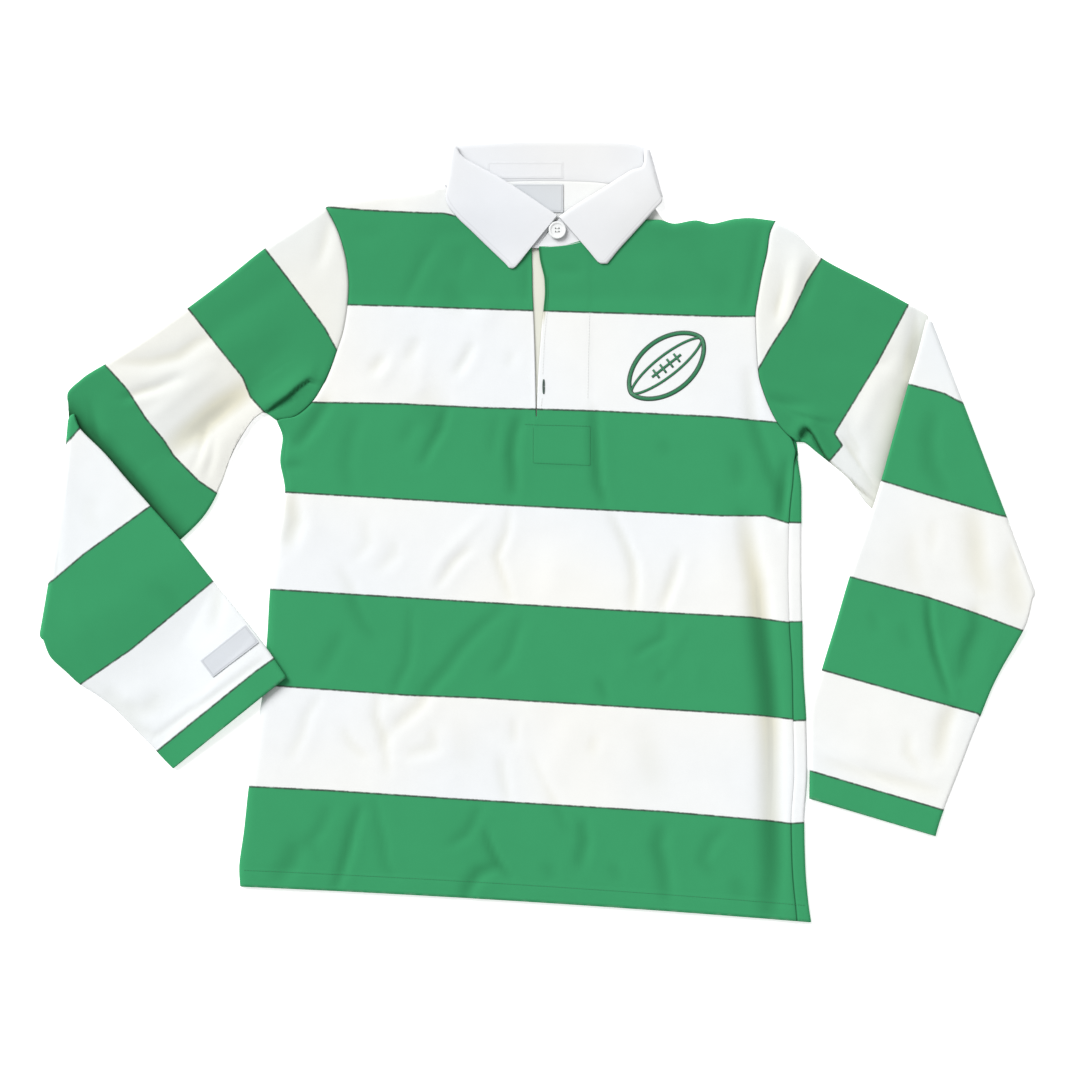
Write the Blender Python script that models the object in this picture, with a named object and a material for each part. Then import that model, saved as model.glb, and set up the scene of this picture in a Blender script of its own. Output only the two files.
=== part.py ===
"""A long-sleeved rugby shirt with broad hoops, laid flat on its back with both forearms folded over.

Run it with Blender 4.5: blender --background --python part.py

Frame: +Z up, the shirt lies on the plane z = 0 with its front facing up, +Y runs from the hem to the
collar and +X towards the wearer's left sleeve. The origin is under the middle of the laid shirt.
The tables below are in millimetres, as a cutter would mark them; MM turns them into metres.
Each cloth piece is a thin wall worked out from its rows, stations or outline by the functions below.
"""

import math
from collections import namedtuple

import bmesh
import bpy
import numpy as np
from mathutils import Vector
from mathutils.bvhtree import BVHTree

MM = 0.001

# Cloth and seams
WALL = 1.4  # heavy cotton jersey
TWILL = 1.8  # collar cloth, two plies
GAP = 0.3  # left between two pieces at a seam
LABEL_WALL = 0.8

# Heights of the laid layers
LOFT = 2.4  # air between back and front over most of the body
NECK_LOFT = 1.8  # less air where the collar presses on the front
NECK_MIDDLE = (12.0, 345.0)
NECK_LOFT_REACH = (45.0, 110.0)  # the loft grows from the first to the second distance
COLLAR_LIFT = TWILL + 0.7  # the back of the collar lies under the neck and lifts it
LIFT_Y = (282.0, 344.0)  # where the back panel climbs onto the collar
LIFT_X = (-160.0, -106.0, 138.0, 192.0)  # the climb ends at the second and starts down at the third
UNDERARM_CLEAR = 3.0  # the front ends this far inside the back's edge where the side seam ends
EDGE_FALL = 9.0  # over this width the front rounds down to the back at sides and shoulders
SLEEVE_HALF = 2.75  # half the height of a laid sleeve, both layers
LAYER_CLEAR = 0.45  # a layer that lies on another stays this far above it
BODY_EDGE_TOP = 2 * WALL + 2 * GAP + LOFT + LAYER_CLEAR  # what a cuff clears where it lies on the body
DRAPE_START, DRAPE_LENGTH = 6.0, 42.0  # how a layer comes down beside the one that it crosses

NECK_SIDES = (-106.0, 112.0)  # between these the front's top edge is the neckline
FAR = 1000.0  # further than any edge is from another

# Front placket: the strip behind the slit
UNDERLAP = {"left": -15.0, "right": 21.0, "top": 296.0, "foot": 116.0}

# Neck button
BUTTON = {"x": 20.0, "y": 313.4, "radius": 9.0, "thick": 3.0, "rim": 1.9, "dish": 0.8}
BUTTON_HOLE = {"radius": 0.85, "spacing": 3.2}

# Rows of the body from hem to shoulder. Each row gives both ends, how much of the back shows on the
# front beside the right-hand seam, and how far the middle of the row bows up.
BodyRow = namedtuple("BodyRow", "name left_x left_y right_x right_y wrap bow")
BODY_ROWS = [
    BodyRow("hem", -308, -366, 283, -403, 15, 3),
    BodyRow("hem stitching", -309, -347, 280, -382, 14, 3),
    BodyRow("lowest green", -304, -308, 277, -345, 14, 2),
    BodyRow("hoop 6", -299, -262, 276, -301, 14, 2),
    BodyRow("hip", -291, -210, 279, -248, 14, 1),
    BodyRow("hoop 5", -284, -158, 278, -195, 14, 1),
    BodyRow("waist", -280, -108, 275, -143, 12, 0),
    BodyRow("hoop 4", -277, -58, 274, -92, 14, 0),
    BodyRow("rib", -273, -8, 273, -41, 14, 1),
    BodyRow("hoop 3", -269, 43, 273, 10, 13, 2),
    BodyRow("below arm", -266, 75, 273, 44, 10, 1),
    BodyRow("side end", -264, 98, 270, 70, 5, 0),
    BodyRow("underarm", -270, 116, 267, 94, 0, 0),
    BodyRow("armhole 1", -253, 120, 257, 103, 0, 0),
    BodyRow("hoop 2", -234, 135, 247, 115, 0, 0),
    BodyRow("armhole 3", -216, 166, 234, 143, 0, 0),
    BodyRow("armhole 4", -208, 188, 228, 165, 0, 0),
    BodyRow("armhole 5", -201, 210, 226, 194, 0, 0),
    BodyRow("hoop 1", -197, 236, 225, 224, 0, 0),
    BodyRow("armhole 7", -196, 255, 228, 246, 0, 0),
    BodyRow("armhole 8", -198, 276, 232, 268, 0, 0),
    BodyRow("armhole 9", -204, 299, 237, 290, 0, 0),
    BodyRow("armhole 10", -212, 320, 240, 310, 0, 0),
    BodyRow("shoulder", -220, 337, 246, 323, 0, 0),
]
UNDERARM = [row.name for row in BODY_ROWS].index("underarm")
CHEST = [row.name for row in BODY_ROWS].index("hoop 1")

# The upper edge of each panel, shoulders and neckline, from the wearer's right to the left.
EdgePoint = namedtuple("EdgePoint", "x y")
FRONT_TOP = [
    EdgePoint(-220, 337), EdgePoint(-208, 342), EdgePoint(-166, 350), EdgePoint(-106, 357),
    EdgePoint(-94, 347), EdgePoint(-70, 322), EdgePoint(-40, 304), EdgePoint(-6, 293),
    EdgePoint(20, 293), EdgePoint(44, 299), EdgePoint(78, 309), EdgePoint(106, 321),
    EdgePoint(148, 321), EdgePoint(181, 320), EdgePoint(218, 326), EdgePoint(246, 323),
]
BACK_TOP = [
    EdgePoint(-220, 337), EdgePoint(-208, 342), EdgePoint(-166, 350), EdgePoint(-106, 356),
    EdgePoint(-80, 359), EdgePoint(0, 364), EdgePoint(60, 362), EdgePoint(90, 350),
    EdgePoint(116, 327), EdgePoint(148, 321), EdgePoint(181, 320), EdgePoint(218, 326),
    EdgePoint(246, 323),
]

# The slit's two edges from foot to neck.
SlitRow = namedtuple("SlitRow", "y left right")
SLIT_ROWS = [
    SlitRow(122, -2.2, -0.6), SlitRow(165, -3.0, 1.4), SlitRow(230, -4.4, 5.0),
    SlitRow(250, -4.6, 7.6), SlitRow(275, -5.0, 5.0), SlitRow(295, -5.2, 1.2),
]

# The largest folds of the front: a ridge has a positive height, a trough a negative one.
Fold = namedtuple("Fold", "name x0 y0 x1 y1 width height")
FRONT_FOLDS = [
    Fold("side trough, upper", 238, 38, 241, -190, 9, -1.6),
    Fold("side trough, lower", 241, -190, 249, -398, 9, -1.7),
    Fold("side roll, upper", 259, 30, 261, -190, 10, 1.8),
    Fold("side roll, lower", 261, -190, 266, -402, 10, 1.8),
    Fold("belly, right", -137, -63, -143, -163, 15, 2.2),
    Fold("belly, left", 92, 4, 96, -69, 16, 2.0),
    Fold("chest, under placket", -25, 111, -27, 39, 14, 1.8),
    Fold("placket to waist", 61, 123, 92, 4, 14, 2.0),
    Fold("waist diagonal", -80, -111, -104, -147, 13, 2.2),
    Fold("hem, right", -197, -302, -206, -361, 14, 2.4),
    Fold("hem, middle", -54, -307, -40, -344, 13, 2.4),
    Fold("hem, middle foot", -40, -344, -73, -370, 13, 2.0),
    Fold("hip, right", -163, -175, -153, -243, 14, 2.0),
    Fold("left rib", 144, -8, 133, -69, 15, 1.8),
    Fold("chest diagonal", -60, 200, -78, 166, 14, 1.8),
    Fold("shoulder blade", -116, 288, -134, 248, 15, 2.0),
    Fold("armhole, right", -160, 185, -171, 166, 12, 1.8),
    Fold("armhole, left", 214, 300, 208, 231, 13, 2.0),
]

# Stations of each sleeve. 'outer' is the edge that starts at the shoulder and 'under' the edge that
# starts under the arm; 'carry' is the share of the armhole's curve that the station keeps.
Station = namedtuple("Station", "name outer_x outer_y under_x under_y carry half")
Crease = namedtuple("Crease", "outer_x outer_y under_x under_y bow")
RIGHT_UPPER = [
    Station("by armhole", -251, 316, -286, 125, 0.80, SLEEVE_HALF),
    Station("first hoop", -283, 295, -304, 113, 0.62, SLEEVE_HALF),
    Station("upper arm 2", -322, 264, -317, 86, 0.45, SLEEVE_HALF),
    Station("upper arm 3", -363, 233, -328, 52, 0.28, SLEEVE_HALF),
    Station("upper arm 4", -405, 203, -343, 22, 0.14, SLEEVE_HALF),
    Station("elbow 1", -440, 180, -375, -11, 0.05, SLEEVE_HALF),
    Station("elbow 2", -464, 163, -424, -45, 0.0, SLEEVE_HALF),
    Station("elbow 3", -477, 149, -470, -78, 0.0, SLEEVE_HALF),
]
RIGHT_CREASE = Crease(-489, 134, -517, -110, 4.0)
RIGHT_FOREARM = [
    Station("turned 1", -475, 110, -505, -127, 0.0, SLEEVE_HALF),
    Station("turned 2", -448, 82, -488, -144, 0.0, SLEEVE_HALF),
    Station("forearm 3", -425, 55, -474, -157, 0.0, SLEEVE_HALF),
    Station("forearm 4", -401, 28, -457, -168, 0.0, SLEEVE_HALF),
    Station("forearm 5", -370, -7, -440, -181, 0.0, SLEEVE_HALF),
    Station("forearm 6", -336, -50, -418, -203, 0.0, SLEEVE_HALF),
    Station("label", -301, -92, -400, -221, 0.0, SLEEVE_HALF),
    Station("hem stitching", -277, -124, -387, -235, 0.0, SLEEVE_HALF),
    Station("cuff", -260, -149, -378, -244, 0.0, SLEEVE_HALF),
]
LEFT_UPPER = [
    Station("by armhole", 266, 312, 275, 94, 0.86, SLEEVE_HALF),
    Station("first hoop", 294, 285, 290, 83, 0.64, SLEEVE_HALF),
    Station("upper arm 2", 317, 272, 306, 70, 0.48, SLEEVE_HALF),
    Station("upper arm 3", 339, 261, 322, 56, 0.33, SLEEVE_HALF),
    Station("upper arm 4", 362, 249, 343, 28, 0.18, SLEEVE_HALF),
    Station("elbow 1", 382, 238, 385, 4, 0.06, SLEEVE_HALF),
    Station("elbow 2", 393, 230, 435, -22, 0.0, SLEEVE_HALF),
    Station("elbow 3", 398, 222, 475, -43, 0.0, SLEEVE_HALF),
]
LEFT_CREASE = Crease(407, 222, 517, -66, 0.0)
LEFT_FOREARM = [
    Station("turned 1", 393, 186, 506, -92, 0.0, SLEEVE_HALF),
    Station("turned 2", 383, 153, 494, -116, 0.0, SLEEVE_HALF),
    Station("forearm 3", 369, 104, 481, -139, 0.0, SLEEVE_HALF),
    Station("forearm 4", 355, 54, 470, -161, 0.0, SLEEVE_HALF),
    Station("forearm 5", 340, 6, 459, -188, 0.0, SLEEVE_HALF),
    Station("forearm 6", 323, -45, 449, -213, 0.0, SLEEVE_HALF),
    Station("forearm 7", 308, -96, 440, -237, 0.0, SLEEVE_HALF),
    Station("forearm 8", 294, -142, 431, -260, 0.0, SLEEVE_HALF),
    Station("beside hip", 282, -190, 422, -283, 0.0, SLEEVE_HALF),
    Station("hem stitching", 281.5, -236, 416, -300, 0.0, SLEEVE_HALF),
    Station("cuff", 281, -275, 412, -314, 0.0, SLEEVE_HALF),
]
FOLD_TURNS = (0, 30, 60, 90, 120, 150, 180)  # degrees round the elbow's fold
FOLD_CLEAR = 0.25  # half the space left between the two inner layers at the fold

RIGHT_SLEEVE_FOLDS = [
    Fold("hoop drape 1", -326, 143, -393, 68, 15, 1.8),
    Fold("hoop drape 2", -295, 138, -352, 70, 14, 1.6),
    Fold("underarm", -277, 131, -244, 156, 10, 1.6),
]
LEFT_SLEEVE_FOLDS = [
    Fold("pleat", 284, 108, 322, 92, 9, 1.6),
    Fold("pleat foot", 322, 92, 346, 52, 9, 1.4),
    Fold("shoulder drape", 270, 280, 262, 215, 14, 1.4),
]
LEFT_FOREARM_FOLDS = [
    Fold("long drape", 404, -76, 408, -139, 15, 2.0),
    Fold("long drape foot", 408, -139, 424, -167, 14, 1.6),
    Fold("wrist 1", 385, -206, 385, -238, 13, 1.8),
]
RIGHT_FOREARM_FOLDS = [
    Fold("wrist drape", -420, -100, -352, -152, 14, 1.6),
]

# The collar, seen as a strip round the neck: where it rolls over, the leaf's free edge and the
# band's seam. It starts at the wearer's right front, passes behind the neck and ends at the left front.
CollarRow = namedtuple("CollarRow", "name roll_x roll_y leaf_x leaf_y band_x band_y")
COLLAR_FRONT_RIGHT = [
    CollarRow("front edge", 18, 331, -27, 274, -2, 297),
    CollarRow("tip", 10, 336, -31, 277, -11, 298),
    CollarRow("front 2", -14, 350, -52, 297, -36, 308),
    CollarRow("front 3", -40, 366, -72, 316, -60, 325),
    CollarRow("front 4", -62, 379, -84, 330, -78, 344),
    CollarRow("front 5", -76, 387, -90, 341, -86, 354),
]
COLLAR_TURN_RIGHT = CollarRow("turn", -90, 400, -98, 361, -94, 365)
COLLAR_BACK = [
    CollarRow("back 1", -78, 402.5, -84, 355, -78, 364),
    CollarRow("back 2", -42, 404, -44, 352, -42, 366),
    CollarRow("back 3", 0, 405.5, 0, 351, 0, 367),
    CollarRow("back 4", 45, 405.5, 48, 350, 42, 366.5),
    CollarRow("back 5", 84, 404.5, 92, 350, 74, 364),
    CollarRow("back 6", 102, 402, 114, 348, 96, 357),
]
COLLAR_TURN_LEFT = CollarRow("turn", 116, 397, 130, 346, 117, 342)
COLLAR_FRONT_LEFT = [
    CollarRow("front 5", 107, 380, 122, 332, 106, 330),
    CollarRow("front 4", 94, 373, 113, 322, 94, 323),
    CollarRow("front 3", 74, 363, 98, 307, 74, 315),
    CollarRow("front 2", 48, 346, 80, 289, 50, 305),
    CollarRow("tip", 32, 335, 70, 279, 26, 299),
    CollarRow("front edge", 26, 330, 63, 279, 4, 297),
]
ROLL_TURNS = (0, 45, 90, 135, 180)
LEAF_COLUMNS = (0.0, 0.22, 0.5, 0.78, 1.0)
BAND_COLUMNS = (0.0, 0.35, 0.7, 1.0)
LEAF_CLEAR = 0.7  # the leaf's fronts lie this far above the front panel

# Flat pieces that lie on a panel
Patch = namedtuple("Patch", "name corners rows columns")
NECK_PATCH = Patch("neck_tape", ((-52, 369), (26, 369), (26, 384), (-52, 384)), 2, 5)
NECK_LABEL = Patch("neck_label", ((-25, 336), (26, 336), (26, 361), (-25, 361)), 2, 4)
SLEEVE_LABEL = Patch("sleeve_label", ((-336, -149), (-292, -116), (-306, -98), (-349, -132)), 4, 10)

# Colours (linear), roughness
GREEN = (0.048, 0.352, 0.141)
WHITE = (0.86, 0.87, 0.88)
TWILL_WHITE = (0.88, 0.88, 0.90)
CREAM = (0.72, 0.74, 0.62)
LABEL_GREY = (0.66, 0.70, 0.74)
BUTTON_WHITE = (0.83, 0.84, 0.85)


def smooth(value):
    """0 below 0, 1 above 1 and a soft S between."""
    held = np.clip(value, 0.0, 1.0)
    return held * held * (3.0 - 2.0 * held)


def along(points, x):
    """Height of a polyline of named points at x."""
    return np.interp(x, [point.x for point in points], [point.y for point in points])


def segment_distance(x, y, x0, y0, x1, y1):
    """Distance to a segment, and how far along it the nearest point lies."""
    run_x, run_y = x1 - x0, y1 - y0
    share = ((x - x0) * run_x + (y - y0) * run_y) / (run_x * run_x + run_y * run_y)
    held = np.clip(share, 0.0, 1.0)
    return np.hypot(x - x0 - held * run_x, y - y0 - held * run_y), held


def relief(folds, x, y):
    """Sum of the folds' ridges and troughs at a point."""
    total = 0.0
    for fold in folds:
        away, share = segment_distance(x, y, fold.x0, fold.y0, fold.x1, fold.y1)
        total = total + fold.height * np.exp(-((away / fold.width) ** 2))
    return total


def polygon_distance(points, x, y):
    """Distance outside a closed outline, or 0 inside it."""
    inside = False
    nearest = 1e9
    for (x0, y0), (x1, y1) in zip(points, points[1:] + points[:1]):
        if (y0 > y) != (y1 > y) and x < x0 + (y - y0) * (x1 - x0) / (y1 - y0):
            inside = not inside
        nearest = min(nearest, float(segment_distance(x, y, x0, y0, x1, y1)[0]))
    return 0.0 if inside else nearest


def drape(distance):
    """Share of a support's height that cloth still has at this distance beside it."""
    return 1.0 - smooth((distance - DRAPE_START) / DRAPE_LENGTH)


# ---- heights of the laid body ----

def back_base(x, y):
    """Underside of the back panel: on the floor, or on the collar behind the neck."""
    inner, outer = LIFT_X[1] - LIFT_X[0], LIFT_X[3] - LIFT_X[2]
    across = smooth((x - LIFT_X[0]) / inner) * smooth((LIFT_X[3] - x) / outer)
    return COLLAR_LIFT * across * smooth((y - LIFT_Y[0]) / (LIFT_Y[1] - LIFT_Y[0]))


def loft(x, y):
    """Air between back and front, away from the edges."""
    away = math.hypot(x - NECK_MIDDLE[0], y - NECK_MIDDLE[1])
    near, far = NECK_LOFT_REACH
    return NECK_LOFT + (LOFT - NECK_LOFT) * smooth((away - near) / (far - near))


def front_under(x, y, inside=FAR):
    """Underside of the front panel, with its folds, rounding down near a closed edge."""
    share = min(inside / EDGE_FALL, 1.0)
    rounded = math.sqrt(1.0 - (1.0 - share) ** 2)
    air = (loft(x, y) + relief(FRONT_FOLDS, x, y)) * rounded
    return back_base(x, y) + WALL + GAP + max(air, 0.0)


# ---- meshes ----

def material_of(name, colour, roughness):
    material = bpy.data.materials.new(name)
    material.use_nodes = True
    shader = material.node_tree.nodes["Principled BSDF"]
    shader.inputs["Base Color"].default_value = (*colour, 1.0)
    shader.inputs["Roughness"].default_value = roughness
    shader.inputs["Metallic"].default_value = 0.0
    return material


def object_from(name, bm, colour, roughness=0.85):
    bmesh.ops.recalc_face_normals(bm, faces=bm.faces)
    mesh = bpy.data.meshes.new(name)
    bm.to_mesh(mesh)
    bm.free()
    mesh.shade_smooth()
    mesh.set_sharp_from_angle(angle=math.radians(40))
    mesh.materials.append(material_of(name, colour, roughness))
    made = bpy.data.objects.new(name, mesh)
    bpy.context.collection.objects.link(made)
    return made


def wall_from(name, under, over, colour, keep=None, ring=False):
    """A closed wall between two grids of points, under and over, rows by columns.

    keep marks the cells that have cloth, and ring joins the last column to the first.
    """
    rows, columns = len(under), len(under[0])
    cells = columns if ring else columns - 1
    bm = bmesh.new()
    vertices = {}

    def vertex(side, i, j):
        key = (side, i, j % columns)
        if key not in vertices:
            x, y, z = (under, over)[side][i][j % columns]
            vertices[key] = bm.verts.new((x * MM, y * MM, z * MM))
        return vertices[key]

    def kept(i, j):
        if ring:
            j %= cells
        inside = 0 <= i < rows - 1 and 0 <= j < cells
        return inside and (keep is None or keep(i, j))

    for i in range(rows - 1):
        for j in range(cells):
            if not kept(i, j):
                continue
            corners = ((i, j), (i, j + 1), (i + 1, j + 1), (i + 1, j))
            for side in (0, 1):
                bm.faces.new([vertex(side, *corner) for corner in corners])
            borders = (
                (kept(i - 1, j), (i, j), (i, j + 1)),
                (kept(i + 1, j), (i + 1, j), (i + 1, j + 1)),
                (kept(i, j - 1), (i, j), (i + 1, j)),
                (kept(i, j + 1), (i, j + 1), (i + 1, j + 1)),
            )
            for joined, start, end in borders:
                if not joined:
                    bm.faces.new([vertex(0, *start), vertex(0, *end), vertex(1, *end), vertex(1, *start)])
    return object_from(name, bm, colour)


def spread(start, end, near_start, near_end, count):
    """Places from start to end: fixed distances at both ends and even ones between."""
    low = [start + distance for distance in near_start]
    high = [end - distance for distance in reversed(near_end)]
    middle = np.linspace(low[-1], high[0], count + 2)[1:-1]
    return low + [float(place) for place in middle] + high


# ---- body panels ----

def row_y(index, x, top):
    """Height on the body of one row at x; above the chest, rows follow the panel's top edge."""
    def line(row):
        share = (x - row.left_x) / (row.right_x - row.left_x)
        return row.left_y + (row.right_y - row.left_y) * share + 4.0 * row.bow * share * (1.0 - share)

    here = line(BODY_ROWS[index])
    if index <= CHEST:
        return here
    chest, shoulder = line(BODY_ROWS[CHEST]), line(BODY_ROWS[-1])
    return chest + (here - chest) * (along(top, x) - chest) / (shoulder - chest)


def wrap_path(row):
    """The back's right edge as (distance inside the outline, centre height, normal angle) points."""
    seam_top = front_under(row.right_x - row.wrap, row.right_y) + WALL / 2
    radius = (seam_top - WALL / 2) / 2
    turn = math.pi * smooth(row.wrap / 6.0)
    path = []
    for share in (0.0, 0.2, 0.4, 0.6, 0.8, 1.0):
        angle = turn * share
        path.append((radius * math.sin(angle), WALL / 2 + radius * (1 - math.cos(angle)), angle))
    if turn == 0.0:
        path = [(0.7 * step, WALL / 2, 0.0) for step in range(len(path))]
    reach = max(x for x, z, angle in path) + WALL / 2
    x_end, z_end, angle = path[-1]
    lip = max(row.wrap - GAP - (reach - x_end), 0.6)
    for share in (0.5, 1.0):
        path.append((x_end + lip * share * math.cos(turn), z_end + lip * share * math.sin(turn), turn))
    reach = max(x for x, z, angle in path) + (WALL / 2 if turn > 0 else 0.0)
    return [(reach - x, z, angle) for x, z, angle in path]


def build_back():
    """The back panel flat on the floor, its edge rolled up to the seam on the wearer's left."""
    under, over = [], []
    for index, row in enumerate(BODY_ROWS):
        path = wrap_path(row)
        flat_end = row.right_x - path[0][0]
        places = spread(row.left_x, flat_end, (0.0, 12.0), (0.0, 14.0), 11)
        low, high = [], []
        for x in places[:-1]:
            y = row_y(index, x, BACK_TOP)
            base = back_base(x, y)
            low.append((x, y, base))
            high.append((x, y, base + WALL))
        for inside, z, angle in path:
            x = row.right_x - inside
            y = row_y(index, min(x, row.right_x), BACK_TOP)
            lean, rise = math.sin(angle) * WALL / 2, math.cos(angle) * WALL / 2
            low.append((x + lean, y, z - rise))
            high.append((x - lean, y, z + rise))
        under.append(low)
        over.append(high)
    return wall_from("body_back", under, over, WHITE)


def edge_distance(index, x, y):
    """How far a point of the front lies from an edge where the cloth turns down to the back."""
    distance = FAR
    if index <= UNDERARM:
        distance = x - BODY_ROWS[index].left_x
    if index > CHEST and not NECK_SIDES[0] < x < NECK_SIDES[1]:
        distance = along(FRONT_TOP, x) - y
    return max(distance, 0.0)


def build_front():
    """The front panel over the back, with the neckline and the placket's slit."""
    slit_y = [row.y for row in SLIT_ROWS]
    under, over = [], []
    left_edge, left_count = (0.0, 0.7, 3.0, 9.0), 11
    right_edge, right_count = (0.0, 5.0, 10.0, 16.0, 24.0, 34.0), 9
    for index, row in enumerate(BODY_ROWS):
        middle_y = row_y(index, 0.0, FRONT_TOP)
        slit_left = float(np.interp(middle_y, slit_y, [slit.left for slit in SLIT_ROWS]))
        slit_right = float(np.interp(middle_y, slit_y, [slit.right for slit in SLIT_ROWS]))
        right_x = row.right_x - (UNDERARM_CLEAR if index == UNDERARM else row.wrap)
        places = spread(row.left_x, slit_left, left_edge, (0.0,), left_count)
        places += spread(slit_right, right_x, (0.0,), right_edge, right_count)
        low, high = [], []
        for x in places:
            y = row_y(index, x, FRONT_TOP)
            base = front_under(x, y, edge_distance(index, x, y))
            low.append((x, y, base))
            high.append((x, y, base + WALL))
        under.append(low)
        over.append(high)
    slit_cell = len(left_edge) + left_count
    foot = next(i for i in range(len(BODY_ROWS)) if row_y(i, 0.0, FRONT_TOP) >= SLIT_ROWS[0].y)
    return wall_from(
        "body_front", under, over, WHITE, keep=lambda i, j: j != slit_cell or i < foot
    )


# ---- sleeves ----

def armhole(side):
    """The armhole's points from shoulder to underarm, moved off the seam by the gap."""
    rows = BODY_ROWS[:UNDERARM - 1:-1]
    points = [(row.left_x, row.left_y) if side < 0 else (row.right_x, row.right_y) for row in rows]
    moved = []
    for k, (x, y) in enumerate(points):
        x0, y0 = points[max(k - 1, 0)]
        x1, y1 = points[min(k + 1, len(points) - 1)]
        length = math.hypot(x1 - x0, y1 - y0)
        out_x, out_y = (y1 - y0) / length, -(x1 - x0) / length
        if out_x * side < 0:
            out_x, out_y = -out_x, -out_y
        moved.append((x + GAP * 1.4 * out_x, y + GAP * 1.4 * out_y))
    return moved


class Sleeve:
    """A laid sleeve: a flattened tube from the armhole over the elbow's fold to the cuff."""

    END_COLUMNS = (0.0, 0.010, 0.032)

    def __init__(self, side, upper, crease, forearm, upper_folds, forearm_folds, rests_on_body):
        self.side = side
        self.upper = upper
        self.crease = crease
        self.forearm = forearm
        self.upper_folds = upper_folds
        self.forearm_folds = forearm_folds
        self.rests_on_body = rests_on_body
        self.hole = armhole(side)
        steps = [0.0]
        for (x0, y0), (x1, y1) in zip(self.hole, self.hole[1:]):
            steps.append(steps[-1] + math.hypot(x1 - x0, y1 - y0))
        self.hole_shares = [step / steps[-1] for step in steps]
        ends = list(self.END_COLUMNS) + [1.0 - share for share in self.END_COLUMNS]
        self.shares = sorted(set(self.hole_shares[1:-1] + ends))
        start, end = self.hole[0], self.hole[-1]
        self.outline = [start] + [(s.outer_x, s.outer_y) for s in upper]
        self.outline += [(crease.outer_x, crease.outer_y), (crease.under_x, crease.under_y)]
        self.outline += [(s.under_x, s.under_y) for s in reversed(upper)] + [end]

    def hole_point(self, share):
        x = float(np.interp(share, self.hole_shares, [point[0] for point in self.hole]))
        y = float(np.interp(share, self.hole_shares, [point[1] for point in self.hole]))
        return x, y

    def station_point(self, station, share):
        """A point across a station, with its share of the armhole's curve."""
        hole_x, hole_y = self.hole_point(share)
        (x0, y0), (x1, y1) = self.hole[0], self.hole[-1]
        bend_x = hole_x - x0 - (x1 - x0) * share
        bend_y = hole_y - y0 - (y1 - y0) * share
        x = station.outer_x + (station.under_x - station.outer_x) * share + station.carry * bend_x
        y = station.outer_y + (station.under_y - station.outer_y) * share + station.carry * bend_y
        return x, y

    def crease_point(self, share):
        crease = self.crease
        out_x, out_y = self.crease_out()
        inward = 4.0 * crease.bow * share * (1.0 - share)
        x = crease.outer_x + (crease.under_x - crease.outer_x) * share - out_x * inward
        y = crease.outer_y + (crease.under_y - crease.outer_y) * share - out_y * inward
        return x, y

    def crease_out(self):
        """Level direction away from the sleeve, square to the crease."""
        run_x = self.crease.under_x - self.crease.outer_x
        run_y = self.crease.under_y - self.crease.outer_y
        length = math.hypot(run_x, run_y)
        out_x, out_y = run_y / length, -run_x / length
        return (out_x, out_y) if out_x * self.side > 0 else (-out_x, -out_y)

    def shape(self, share):
        """Height of the tube across its width: full in the middle, closed at both edges."""
        edge = abs(2.0 * share - 1.0)
        return max(1.0 - edge ** 40, 0.0) ** 0.5

    def support(self, x, y):
        """What lies under the forearm at a point."""
        height = (2 * SLEEVE_HALF + LAYER_CLEAR) * drape(polygon_distance(self.outline, x, y))
        if self.rests_on_body:
            body = [(row.left_x, row.left_y) for row in BODY_ROWS[:UNDERARM + 1]]
            body += [(0.0, body[-1][1]), (0.0, body[0][1])]
            height = max(height, BODY_EDGE_TOP * drape(polygon_distance(body, x, y)))
        return height

    def rings(self):
        """Rings of (outer, inner) wall points from armhole to cuff."""
        rings = []
        hole = Station("armhole", 0, 0, 0, 0, 0, SLEEVE_HALF)
        rings.append(self.flat_ring(lambda share: self.hole_point(share), hole.half))
        for station in self.upper:
            rings.append(self.flat_ring(lambda share, s=station: self.station_point(s, share), station.half))
        half = SLEEVE_HALF
        radius = half + FOLD_CLEAR
        out_x, out_y = self.crease_out()
        for turn in FOLD_TURNS:
            angle = math.radians(turn)
            shift = radius * math.sin(angle) - radius - half
            centre = half + radius * (1.0 - math.cos(angle))
            lean, rise = -math.sin(angle), math.cos(angle)

            def place(share, height):
                x, y = self.crease_point(share)
                level = shift + lean * height
                return x + out_x * level, y + out_y * level, centre + rise * height

            rings.append(self.ring(place, half))
        for station in self.forearm:
            def place(share, height, s=station):
                x, y = self.station_point(s, share)
                fold = relief(self.forearm_folds, x, y) if height < 0 else 0.0
                return x, y, self.support(x, y) + s.half - height + fold * self.shape(share)

            rings.append(self.ring(place, station.half))
        return rings

    def flat_ring(self, point, half):
        def place(share, height):
            x, y = point(share)
            fold = relief(self.upper_folds, x, y) if height > 0 else 0.0
            return x, y, half + height + fold * self.shape(share)

        return self.ring(place, half)

    def ring(self, place, half):
        """One ring: the top layer from the outer to the under edge, then the lower one back."""
        order = [(share, 1) for share in self.shares] + [(share, -1) for share in self.shares[-2:0:-1]]
        outer = [place(share, layer * half * self.shape(share)) for share, layer in order]
        inset = 0.012
        inner = []
        for share, layer in order:
            inside = inset + share * (1.0 - 2.0 * inset)
            height = max(half - WALL, 0.1) * self.shape(share)
            inner.append(place(inside, layer * height))
        return outer, inner

    def build(self, name):
        rings = self.rings()
        over = [outer for outer, inner in rings]
        under = [inner for outer, inner in rings]
        return wall_from(name, under, over, GREEN, ring=True)


# ---- collar ----

def leaf_front_height(x, y):
    """Middle of the leaf's wall where it lies on the front."""
    return front_base_height(x, y) + WALL + LEAF_CLEAR + TWILL / 2


def front_base_height(x, y):
    """The front panel's underside carried on over the neckline, without folds."""
    return back_base(x, y) + WALL + GAP + loft(x, y)


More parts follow.
